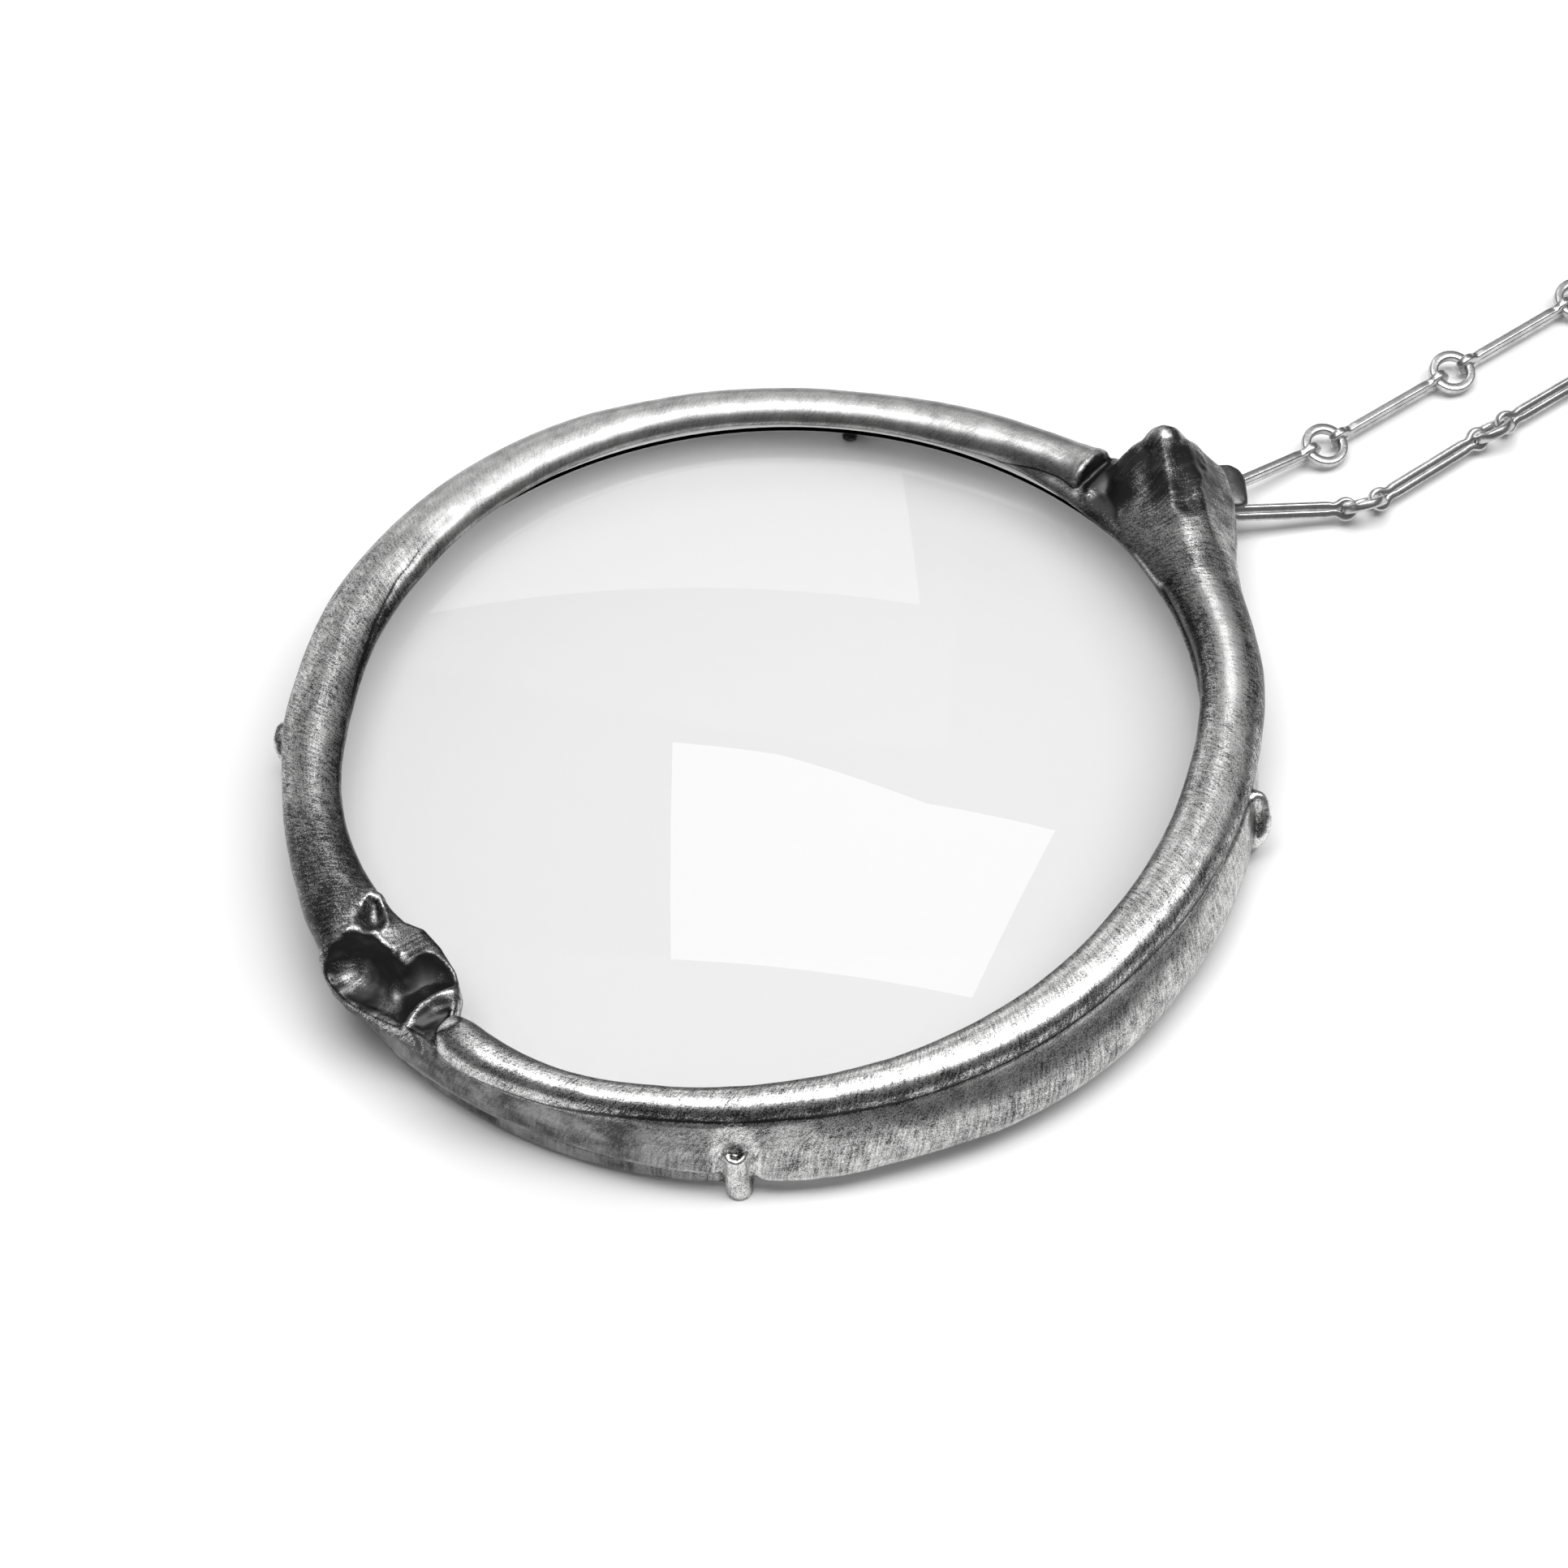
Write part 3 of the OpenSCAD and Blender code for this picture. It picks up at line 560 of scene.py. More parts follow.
# %% Where the surface crosses the grid
def crossings(values):
    """The crossed grid edges along each axis, and the sum and number of crossings of each cell."""
    n_a, n_r, n_z = values.shape
    total = np.zeros((n_a, n_r - 1, n_z - 1, 3))
    count = np.zeros((n_a, n_r - 1, n_z - 1))
    crossed = []
    for axis in range(3):
        ahead = np.roll(values, -1, axis)
        cut = (values < 0) != (ahead < 0)
        if axis:
            cut[(slice(None),) * axis + (-1,)] = False
        with np.errstate(divide="ignore", invalid="ignore"):
            t = np.where(cut, values / (values - ahead), 0)
        crossed.append(cut)
        others = [k for k in range(3) if k != axis]
        for d0, d1 in ((0, 0), (0, 1), (1, 0), (1, 1)):
            move = [0, 0, 0]
            move[others[0]], move[others[1]] = d0, d1
            c, part = np.roll(cut, -move[0], 0), np.roll(t, -move[0], 0)
            c = c[:, move[1]:move[1] + n_r - 1, move[2]:move[2] + n_z - 1]
            part = part[:, move[1]:move[1] + n_r - 1, move[2]:move[2] + n_z - 1]
            count += c
            for k in range(3):
                total[..., k] += c * (part if k == axis else move[k])
    return crossed, total, count


ball_values = np.linalg.norm(np.mgrid[-3:4, -3:4, -3:4], axis=0) - 1.5
print("crossed edges of a small test ball:", [int(cut.sum()) for cut in crossings(ball_values)[0]])

# %% One point for each cell and one face for each crossed edge
def net(values):
    """Points, in grid steps, and faces of the surface where values cross zero; azimuth is closed."""
    crossed, total, count = crossings(values)
    filled = count > 0
    label = np.full(count.shape, -1)
    label[filled] = np.arange(filled.sum())
    points = np.argwhere(filled) + total[filled] / count[filled][:, None]
    faces = []
    for axis in range(3):
        i, j, k = np.nonzero(crossed[axis])
        others = [m for m in range(3) if m != axis]
        ring = []
        for d0, d1 in ((-1, -1), (0, -1), (0, 0), (-1, 0)):
            at = [v.copy() for v in (i, j, k)]
            at[others[0]] += d0
            at[others[1]] += d1
            ring.append(label[at[0] % len(values), at[1], at[2]])
        quad = np.stack(ring, -1)
        flip = (values[i, j, k] < 0) ^ (axis == 1)
        quad[flip] = quad[flip][:, ::-1]
        faces.append(quad)
    return points, np.concatenate(faces)


print("faces of the test ball:", len(net(ball_values)[1]))

# %% Leave no two sheets that touch
def without_touching_corners(values):
    """Fills each square of grid points that are inside and outside by turns.

    Two sheets of the surface would touch there, and an edge would get four faces.
    """
    values = values.copy()
    for turn in range(8):
        filled = 0
        for p, q in ((0, 1), (0, 2), (1, 2)):
            inside = values < 0
            mixed = inside != np.roll(inside, -1, p)
            mixed &= inside != np.roll(inside, -1, q)
            mixed &= inside == np.roll(inside, (-1, -1), (p, q))
            for back in ((0, 0), (1, 0), (0, 1), (1, 1)):
                values[np.roll(mixed, back, (p, q)) & (values >= 0)] = -0.01
            filled += int(mixed.sum())
        if not filled:
            break
    return values


crossed_square = np.ones((4, 4, 4))
crossed_square[1, 1, 1] = -1
crossed_square[2, 2, 1] = -1
print("points inside a test square, after:", int((without_touching_corners(crossed_square) < 0).sum()))

# %% Sample the field
def by_zone(azimuth):
    """Which azimuths lie in each zone of the ring."""
    return [np.nonzero((azimuth >= low) & (azimuth < high))[0] for low, high in ZONES]


field = np.empty((len(GRID_A), len(GRID_R), len(GRID_Z)))
for rows in by_zone(GRID_A):
    field[rows] = casting(GRID_A[rows][:, None, None], GRID_R[None, :, None], GRID_Z[None, None, :])
grid_points, quads = net(without_touching_corners(field))
print("casting:", len(grid_points), "points", len(quads), "faces")

# %% [markdown]
# The mean of the crossings is only roughly on the surface. Two short steps along the field's slope
# put each point exactly onto it. The slope also gives the direction that faces outwards, and the
# way the slope changes tells crests from grooves. Crests are later polished and grooves darkened.

# %% The field's value and slope at single points
def measured(rule, azimuth, r, z):
    """A rule's value at single points, worked out zone by zone."""
    out = np.empty(len(azimuth))
    for rows in by_zone((azimuth - START) % 360 + START):
        if len(rows):
            out[rows] = rule(azimuth[rows], r[rows], z[rows])
    return out


def both_ways(azimuth, r, z, h):
    """The field a step ahead of and behind each point: across, outwards and upwards."""
    turn = np.degrees(h / r)
    return [
        (measured(casting, azimuth + turn, r, z), measured(casting, azimuth - turn, r, z)),
        (measured(casting, azimuth, r + h, z), measured(casting, azimuth, r - h, z)),
        (measured(casting, azimuth, r, z + h), measured(casting, azimuth, r, z - h)),
    ]


def slope(azimuth, r, z, h=0.02):
    """The field's slope across, outwards and upwards, per mm."""
    return np.stack([ahead - behind for ahead, behind in both_ways(azimuth, r, z, h)], -1) / (2 * h)


print("slope over bone A:", slope(np.array([165.0]), np.array([29.2]), np.array([7.6])).round(2))

# %% Pull the points onto the surface
LONGEST_STEP = 0.12
azimuths = np.interp(grid_points[:, 0], np.arange(len(GRID_A) + 1), np.append(GRID_A, GRID_A[0] + 360))
radii = np.interp(grid_points[:, 1], np.arange(len(GRID_R)), GRID_R)
heights = np.interp(grid_points[:, 2], np.arange(len(GRID_Z)), GRID_Z)
for turn in range(2):
    off = measured(casting, azimuths, radii, heights)
    g = slope(azimuths, radii, heights)
    step = -np.clip(off, -LONGEST_STEP, LONGEST_STEP)[:, None] * g
    move = step / np.maximum((g ** 2).sum(1), 0.25)[:, None]
    azimuths += np.degrees(move[:, 0] / radii)
    radii += move[:, 1]
    heights = np.maximum(heights + move[:, 2], 0)
print("mean distance off the surface before the last step, mm:", round(float(np.abs(off).mean()), 4))

# %% Outward directions, crests and grooves
BEND_STEP = 0.3
curved = sum(v for pair in both_ways(azimuths, radii, heights, BEND_STEP) for v in pair) / BEND_STEP ** 2
g = slope(azimuths, radii, heights)
g /= np.maximum(np.linalg.norm(g, axis=1), 1e-6)[:, None]
a = np.radians(azimuths)
spot = polar(azimuths, radii, heights)
outward_x = g[:, 1] * np.cos(a) - g[:, 0] * np.sin(a)
outward_y = g[:, 1] * np.sin(a) + g[:, 0] * np.cos(a)
outward = np.stack([outward_x, outward_y, g[:, 2]], -1)
print("curvature, 5th, 50th and 95th percentile:", np.percentile(curved, [5, 50, 95]).round(2))

# %% [markdown]
# ## The carver's and the caster's marks
#
# The bones are not machined. Their surfaces undulate slightly, the scooped facets keep thin broken
# crests, and the head has pits. Noise made from a fixed table of random numbers moves each point a
# few hundredths of a millimetre along its outward direction, and a short list of strokes raises the
# crests and sinks the creases. The same strokes work here as a chisel would: a line, a width, a depth.

# %% Noise from a fixed table
TABLE = np.random.default_rng(7).random(4096) * 2 - 1


def noise(points, scale, seed=0):
    """Smooth noise between -1 and 1; scale is the size of its lumps in mm."""
    p = points / scale + 57.3
    cell = np.floor(p).astype(int)
    f = p - cell
    f = f * f * (3 - 2 * f)
    out = 0
    for dx, dy, dz in np.ndindex(2, 2, 2):
        key = (cell[:, 0] + dx) * 73856093
        key = key ^ ((cell[:, 1] + dy) * 19349663)
        key = key ^ ((cell[:, 2] + dz) * 83492791)
        weight = ((f[:, 0] if dx else 1 - f[:, 0]) * (f[:, 1] if dy else 1 - f[:, 1])
                  * (f[:, 2] if dz else 1 - f[:, 2]))
        out = out + TABLE[(key + seed * 977) % 4096] * weight
    return out


print("noise at three points:", noise(spot[:3], 1.7).round(3))

# %% The strokes
# Each stroke: its points from above, its width, its lift over the surface
STROKES = [
    ([(-28.4, -14.5), (-27.8, -14.3), (-26.6, -13.8), (-25.5, -14.1), (-24.4, -14.9), (-23.7, -15.6)],
     0.14, 0.11),
    ([(-28.1, -17.3), (-27.1, -16.7), (-25.6, -15.8)], 0.13, 0.12),
    ([(-23.8, -15.6), (-23.75, -16.4), (-23.8, -17.2)], 0.35, 0.08),
    ([(-23.5, -16.5), (-22.9, -15.9), (-22.6, -15.8), (-21.6, -16.0), (-20.9, -16.85)], 0.13, 0.10),
    ([(-23.6, -20.7), (-23.0, -19.75), (-22.0, -19.0), (-20.8, -18.8), (-20.25, -18.9)], 0.12, 0.09),
    ([(-28.8, -14.4), (-28.6, -15.8), (-28.0, -16.8), (-27.5, -17.6), (-26.5, -18.4), (-25.4, -18.9),
      (-24.65, -19.55), (-24.0, -20.25), (-22.8, -21.2)], 0.14, 0.13),
    ([(-25.45, -11.0), (-26.0, -11.9), (-26.3, -13.2), (-26.9, -14.0)], 0.15, 0.12),
    ([(-25.0, -11.3), (-24.7, -12.3), (-24.4, -13.5)], 0.15, 0.10),
    ([(-21.1, -19.9), (-21.5, -20.7), (-21.85, -21.5), (-21.9, -22.5)], 0.14, -0.16),
    ([(-22.9, -20.4), (-21.75, -19.8), (-20.8, -19.6)], 0.12, 0.05),
    ([(23.8, 21.9), (22.9, 20.9), (21.8, 19.7)], 0.34, 0.12),
    ([(24.2, 21.6), (23.2, 20.7), (22.4, 19.8), (22.2, 19.1)], 0.22, -0.15),
    ([(30.1, 21.1), (30.5, 19.3), (29.6, 17.3), (29.3, 15.6)], 0.34, 0.12),
]
# The long crease on bone A, from above
CREASE = np.array([
    (-19.6, 20.9), (-20.8, 19.3), (-21.8, 17.9), (-22.5, 16.7), (-23.4, 15.4), (-24.2, 13.7),
    (-25.0, 11.8), (-25.5, 10.1), (-26.1, 8.0), (-26.7, 4.5), (-26.9, 1.0),
])
print(len(STROKES), "strokes and one crease of", len(CREASE), "points")

# %% How strokes work on a point
def ramp(value, start, width):
    """0 up to a start, then rising to 1 over a width."""
    return np.clip((value - start) / width, 0, 1)


def stroke_lift(points):
    """Lift in mm from all strokes; a stroke works on the upper side only."""
    lift = np.zeros(len(points))
    shaky = points[:, :2] + 0.16 * np.stack([noise(points, 0.55, 3), noise(points, 0.55, 4)], -1)
    broken = 0.75 + 0.7 * noise(points, 0.5, 5)
    for line, wide, up in STROKES:
        close = np.full(len(points), 9.0)
        for a, b in zip(line, line[1:]):
            d = np.array(b) - a
            t = np.clip(((shaky - a) @ d) / (d @ d), 0, 1)
            close = np.minimum(close, np.hypot(*(shaky - a - t[:, None] * d).T))
        lift += up * np.exp(-(close / wide) ** 2) * (broken if up > 0 else 1)
    return lift * ramp(points[:, 2], 4.6, 0.8)


strokes = stroke_lift(spot)
print("the strokes lift by", strokes.min().round(3), "to", strokes.max().round(3), "mm")

# %% How far each point is from the crease or from a place
def beside_line(points, line):
    """Distance from a line drawn from above, with a different sign on each of its sides."""
    best = np.full(len(points), 9.0)
    for a, b in zip(line, line[1:]):
        d = b - a
        t = np.clip(((points[:, :2] - a) @ d) / (d @ d), 0, 1)
        off = points[:, :2] - a - t[:, None] * d
        signed = np.hypot(*off.T) * np.where(d[0] * off[:, 1] - d[1] * off[:, 0] < 0, -1, 1)
        best = np.where(np.abs(signed) < np.abs(best), signed, best)
    return best


def around_spot(x, y, size):
    """1 at a place seen from above, falling to 0 past its size."""
    return np.clip(1.6 - np.hypot(spot[:, 0] - x, spot[:, 1] - y) / size, 0, 1)


beside_crease = beside_line(spot, CREASE)
print("points within 0.3 mm of the crease:", int((np.abs(beside_crease) < 0.3).sum()))

# %% Move the points
# Columns: x, y, size of the rough places on the knob and on the head
KNOB_ROUGH = [(-27, -15.6, 1.8), (-25.2, -18.2, 2.0), (-23.2, -21, 1.2)]
HEAD_ROUGH = [(30.2, 18.4, 1.4), (24.0, 20.0, 1.2), (26.8, 19.8, 1.2)]
rough_knob = np.maximum.reduce([around_spot(*s) for s in KNOB_ROUGH])
rough_head = np.maximum.reduce([around_spot(*s) for s in HEAD_ROUGH])
on_top = ramp(heights, 4.6, 0.8)
lift = 0.035 * noise(spot, 3.1, 1) + 0.014 * noise(spot, 0.9, 2)
lift += strokes + 0.05 * rough_knob * noise(spot, 0.45, 6) + 0.035 * rough_head * noise(spot, 0.4, 7)
lift -= 0.06 * np.exp(-(beside_crease / 0.3) ** 2) * on_top
lift *= np.clip(heights - 0.8, 0, 1)
spot_out = spot + outward * lift[:, None]
print("largest lift in mm", round(float(np.abs(lift).max()), 3))

# %% [markdown]
# ## Where the silver is dark
#
# The pendant was blackened and then rubbed: the dark stays in grooves and scooped places, and crests
# come up bright. Painting that by hand would tie it to one mesh. Here each point gets one number for
# it, from the curvature, from which form it lies on and from a few dark places that the photograph
# shows. The same number also holds painted shade on the flanks of the bones and in the bezel's inner
# wall, and painted highlight, with wear, on the tops of the neck and on the head's ridge. A second
# number, the grit, says how speckled the film is: coarse on the rubbed bones, fine and satin in the
# hollows and on the far side. The material reads both as attributes.

# %% Which form each point lies on
def flat_place(azimuth, r):
    """The place of ring coordinates, seen from above."""
    return r * np.cos(np.radians(azimuth)), r * np.sin(np.radians(azimuth))


def hollows(azimuth, r, z):
    """Distance from the nearest bowl of the knob."""
    x, y = flat_place(azimuth, r)
    return np.minimum.reduce([bowl(x, y, z, *b) for b in BOWLS_A[:2]])


def bones(azimuth, r, z):
    """Distance from the nearest bone or from the knob's slab."""
    x, y = flat_place(azimuth, r)
    return np.minimum.reduce([swept(BONE_A, azimuth, r, z), swept(BONE_B, azimuth, r, z), knob_a(x, y, z)])


def lips(azimuth, r, z):
    """Distance from the lip over the glass."""
    return swept(LIP, azimuth, r, z)


def skirts(azimuth, r, z):
    """Distance from the skirt or the lip."""
    return np.minimum(skirt_form(azimuth, r, z), lips(azimuth, r, z))


def surface_of(rule):
    """Distance of all points from a form."""
    return measured(rule, azimuths, radii, heights)


to_bone, to_skirt, to_lip, to_hollow = (surface_of(rule) for rule in (bones, skirts, lips, hollows))
print("points on a bone:", int((to_bone < 0.1).sum()), "on skirt and lip:", int((to_skirt < 0.1).sum()))

# %% Masks for the forms
inside = np.clip(1.5 - np.abs(to_hollow) / 0.06, 0, 1)
off_bone = np.clip(to_bone / 0.2, 0, 1) * (1 - inside)
on_bone = np.clip(1.5 - to_bone / 0.1, 0, 1)
skirt_only = np.clip(1.2 - np.abs(to_skirt) / 0.1, 0, 1) * off_bone * ramp(radii, 30.2, 0.4)
lip_only = np.clip(1.2 - np.abs(to_lip) / 0.1, 0, 1) * off_bone
hollow_rim = np.exp(-((to_hollow - 0.05) / 0.12) ** 2) * (1 - inside)
# Painted shade: the bezel's inner wall, low down under the bones beside the glass
inner_wall_shade = np.clip((30.3 - radii) / 0.4, 0, 1) * np.clip((5.6 - heights) / 0.5, 0, 1)
crest = ramp(curved, 2.2, 2.5) * np.clip(0.7 + noise(spot, 0.5, 11), 0, 1)
print("share of points in the bowls:", round(float((inside > 0.5).mean()), 3))

# %% Masks for places round the ring
PIT = polar(-97.0, 31.35, PIT_Z)


def beyond(azimuth):
    """Degrees of each point from an azimuth, on either side."""
    return np.abs(wrapped(azimuths, azimuth) - azimuth)


calm = around_spot(28.2, 18.8, 4.0) * ramp(heights, 3.5, 1.0)
crumbly = around_spot(-27.5, -15.3, 1.1)
near_knob = around_spot(-24.8, -15.8, 3.6)
far_side = ramp(np.sin(a), 0.45, 0.3)
smooth_side = np.clip((50 - beyond(220)) / 20, 0, 1)
left_side = ramp(wrapped(azimuths, 120), 42, 3) * np.clip((198 - azimuths) / 8, 0, 1)
neck = np.clip((13 - beyond(6)) / 6, 0, 1)
near_side = np.clip((24 - beyond(-98)) / 14, 0, 1)
# Partly wear and partly painted highlight: faces that look straight up
worn_and_lit_top = ramp(outward[:, 2], 0.9, 0.08)
# Painted shade: faces that tip away from straight up, and faces that look down, are made darker
flank_shade = np.clip((0.86 - outward[:, 2]) / 0.35, 0, 1) + np.clip((0.25 - outward[:, 2]) / 0.3, 0, 1)
print("share of points on the far side:", round(float((far_side > 0.5).mean()), 3))

# %% [markdown]
# With these masks the darkness is a sum of short terms. Most say what the film does in one place: it
# fills the bowls and thins out on worn crests. Others paint light and shade: painted shade deepens
# the flanks of the bones and the bezel's inner wall, the tops of the neck are lighter from wear and
# painted highlight, and a painted glint sits on the head's ridge. The painted shade on the flanks
# stays light on the far side, which the photograph shows pale.

# %% The film over the whole ring
# Columns: x, y, size, how dark
DARK = [
    (27.6, 19.2, 3.6, 0.4), (22.9, 20.0, 0.8, 0.4), (26.3, 19.3, 1.3, 0.2), (29.3, 19.4, 1.2, 0.3),
    (31.3, 17.5, 2.6, 0.25), (29.2, 12.5, 3.5, 0.15), (24.0, 17.5, 1.2, 0.25), (-29.3, -9.0, 4.0, 0.4),
    (-22.6, -14.7, 1.7, 0.4), (-25.0, -13.6, 1.2, 0.1), (-27.6, -12.6, 1.8, 0.3), (24.6, 21.2, 1.6, 0.2),
    (23.5, 18.8, 1.3, 0.35),
]
darkness = 0.42 - 0.05 * np.clip(curved, -4, 2) + 0.14 * noise(spot, 1.7, 8) + 0.1 * noise(spot, 0.6, 9)
for x, y, size, how in DARK:
    darkness += how * around_spot(x, y, size) * ramp(heights, 4.8, 0.6)
print("mean darkness so far:", round(float(darkness.mean()), 2))

# %% The film in hollows, on skirt and lip and on the head, painted shade in the inner wall and a painted glint
darkness += (0.6 - 0.15 * crumbly + 0.2 * noise(spot, 0.8, 10)) * inside
darkness += (0.17 + 0.28 * smooth_side) * skirt_only
darkness += 0.3 * lip_only
darkness += (0.1 + 0.28 * noise(spot, 1.2, 12)) * calm
darkness += 0.45 * hollow_rim * (1 - around_spot(-26.5, -18.6, 1.8))
# A painted glint: a small spot at the top of the head's ridge is made light
darkness -= 0.8 * around_spot(27.95, 20.95, 0.3) * ramp(heights, 8.3, 0.4)
# Painted shade in the inner wall, stronger on the far side
darkness += (0.3 + 0.4 * far_side) * inner_wall_shade * (1 - inside)
darkness += 0.8 * np.clip(1.4 - np.linalg.norm(spot - PIT, axis=1) / 0.45, 0, 1)
print("mean darkness with hollows, skirt and head:", round(float(darkness.mean()), 2))

# %% The film, painted shade and painted highlight on the bones
# Painted shade on the flanks and undersides of the bones, weaker on the far side and left off at bone B's
# end
darkness += 0.45 * flank_shade * (1 - 0.75 * far_side) * on_bone * ramp(beyond(-125), 8, 10)
darkness += 0.15 * left_side * (1 - 0.3 * far_side) * on_bone * (1 - 0.7 * calm)
# On the neck the sides get film, and the faces that look up get wear and painted highlight
darkness += neck * (0.28 - 0.7 * worn_and_lit_top) * on_bone * (1 - 0.7 * calm)
darkness += (0.12 * near_knob + 0.1 * near_side) * on_bone * (1 - inside)
darkness -= 0.15 * crest * (1 - near_knob)
darkness -= 0.3 * np.clip(strokes, 0, 0.12) / 0.3
darkness += 2 * np.maximum(-strokes, 0)
darkness = np.clip(darkness, -0.2, 1.6)
print("mean darkness:", round(float(darkness.mean()), 2))

# %% Grit and seams
softer = np.maximum.reduce([0.35 * calm, 0.55 * lip_only, 0.45 * near_knob * (1 - inside), 0.72 * far_side])
grit = 1 - (0.2 + 0.6 * smooth_side) * skirt_only - (0.75 - 0.3 * crumbly) * inside - softer
grit = np.clip(grit, 0.15, 1)
seam = np.clip(to_bone - to_skirt, -1, 1)
seam_here = np.exp(-(np.minimum(to_bone, to_skirt) / 0.12) ** 2) * ramp(heights, 3, 1)
crease_here = on_top * ramp(azimuths, 137, 12) * np.clip((178 - azimuths) / 10, 0, 1)
print("mean grit:", round(float(grit.mean()), 2))

# %% [markdown]
# ## The bezel's mesh
#
# Now the points and faces become a mesh, and the numbers of each point go onto it as attributes.
# Two of them, along and girth, unroll the ring like a ribbon, so that scratches can follow it. A
# closed mesh has a volume, and its sign tells which way the faces look. The next helper uses that.

# %% Turn a mesh's faces outwards
def facing_out(made):
    """Flips the faces of a closed piece if they look inwards; gives its volume in mm3."""
    mesh = made.data
    mesh.calc_loop_triangles()
    co = np.empty(len(mesh.vertices) * 3)
    mesh.vertices.foreach_get("co", co)
    tri = np.empty(len(mesh.loop_triangles) * 3, int)
    mesh.loop_triangles.foreach_get("vertices", tri)
    c = co.reshape(-1, 3)[tri.reshape(-1, 3)]
    volume = float((c[:, 0] * np.cross(c[:, 1], c[:, 2])).sum() / 6)
    if volume < 0:
        mesh.flip_normals()
    return round(abs(volume) / MM ** 3, 2)


print("flip test is ready")

# %% The bezel with its bones
bezel = piece("bezel_with_bones", spot_out, quads.tolist())
ribbon = {"along": np.radians(azimuths) * 30, "girth": np.arctan2(radii - 30, heights - 5.5) * 2.2}
dark_mix = {"darkness": darkness, "grit": grit}
lines = {"seam": seam, "crease": np.clip(beside_crease, -1, 1)}
reach = {"seam_here": seam_here, "crease_here": crease_here}
for name, values in {**dark_mix, **ribbon, **lines, **reach}.items():
    bezel.data.attributes.new(name, "FLOAT", "POINT").data.foreach_set("value", values)
print("silver in mm3:", facing_out(bezel))

# %% [markdown]
# ## The glass
#
# The lens is a plain magnifying glass with a domed upper face, an almost flat lower face and a
# ground rim. A squashed sphere would have no rim, and a cut one would have a seam. So it is made as on
# a lathe: one profile, turned round the middle. Its poles are single points, so that the highlight
# runs across the middle without a mark.

# %% The profile of the lens
def dome(r, rise):
    """Height of a dome over its rim, at a radius."""
    big = (GLASS_R ** 2 + rise ** 2) / (2 * rise)
    return np.sqrt(big * big - r * r) - (big - rise)


BEVEL = 0.12
# The domes end a little inside the rim, as a share of its radius
DOME_END = 0.9965
across = GLASS_R * np.sin(np.linspace(0, math.pi / 2, 30))[1:] * DOME_END
profile = [(r, RIM_LOW - dome(r, BELLY)) for r in across]
profile += [(GLASS_R, RIM_LOW + BEVEL), (GLASS_R, RIM_TOP - BEVEL)]
profile += [(r, RIM_TOP + dome(r, CROWN)) for r in across[::-1]]
print("profile points:", len(profile))

# %% Turn the lens
SPOKES = 160
lens_points = [(0, 0, RIM_LOW - BELLY)]
for r, z in profile:
    lens_points += polar(np.arange(SPOKES) * 360 / SPOKES, r, z).tolist()
lens_points.append((0, 0, RIM_TOP + CROWN))
lens_faces = []
last = len(lens_points) - 1
for s in range(SPOKES):
    t = (s + 1) % SPOKES
    lens_faces.append((0, 1 + t, 1 + s))
    lens_faces.append((last, last - SPOKES + s, last - SPOKES + t))
    for row in range(len(profile) - 1):
        low = 1 + row * SPOKES
        lens_faces.append((low + s, low + t, low + SPOKES + t, low + SPOKES + s))
glass = piece("magnifying_glass", lens_points, lens_faces)
print("glass in mm3:", facing_out(glass))

# %% [markdown]
# ## The bail
#
# A blackened strip comes out of the head and closes over the two ends of the chain. Under it a thin
# wire hangs from the head, and the chain's first eyes ride on that wire. The strip is a small sheet
# with a round edge that bends down a little towards its free end. It could be a cube with a bevel,
# but rings of its own outline, laid from the middle of its top round to its underside, follow its odd
# shape better.

# %% A skin over rings
def skinned(rings):
    """Closed mesh over a row of rings, with a fan at each end."""
    n = len(rings[0])
    end = (len(rings) - 1) * n
    points = np.concatenate([*rings, [rings[0].mean(0)], [rings[-1].mean(0)]])
    faces = []
    for low in range(0, end, n):
        high = low + n
        faces += [(low + i, high + i, high + (i + 1) % n, low + (i + 1) % n) for i in range(n)]
    faces += [(i, (i + 1) % n, len(points) - 2) for i in range(n)]
    faces += [(end + (i + 1) % n, end + i, len(points) - 1) for i in range(n)]
    return points, faces


square = [np.array([(0, 0, z), (1, 0, z), (1, 1, z), (0, 1, z)]) for z in (0, 1)]
print("a skinned box has", len(skinned(square)[1]), "faces")

# %% The strip over the chain's ends
STRIP = [(29.0, 19.0), (32.9, 18.9), (33.3, 19.4), (33.3, 21.4), (33.0, 22.0), (32.3, 22.5), (29.5, 22.5)]
STRIP_Z = 3.92
# From the middle of its top over the round edge to its underside: share of the outline, height
STRIP_RINGS = [
    (0.3, 0.25), (0.6, 0.25), (0.85, 0.25), (0.95, 0.21), (0.99, 0.1), (0.99, -0.1), (0.95, -0.21),
    (0.85, -0.25), (0.4, -0.25),
]


def strip_rings():
    """Rings of the strip's softened outline; it droops towards its free end and its near side."""
    outline = []
    for (x0, y0), (x1, y1) in zip(STRIP, STRIP[1:] + STRIP[:1]):
        outline += [(x0 + (x1 - x0) * k / 8, y0 + (y1 - y0) * k / 8) for k in range(8)]
    outline = np.array(outline)
    for _ in range(2):
        outline = (np.roll(outline, 1, 0) + outline * 2 + np.roll(outline, -1, 0)) / 4
    centre = outline.mean(0)
    rings = []
    for scale, up in STRIP_RINGS:
        flat = centre + (outline - centre) * scale
        near_droop = 0.32 * np.clip((20.9 - flat[:, 1]) / 2, 0, 1) ** 2
        end_droop = 0.22 * np.clip((flat[:, 0] - 32.4) / 0.9, 0, 1) ** 2
        rings.append(np.column_stack([flat, STRIP_Z + up - (near_droop + end_droop)]))
    return rings


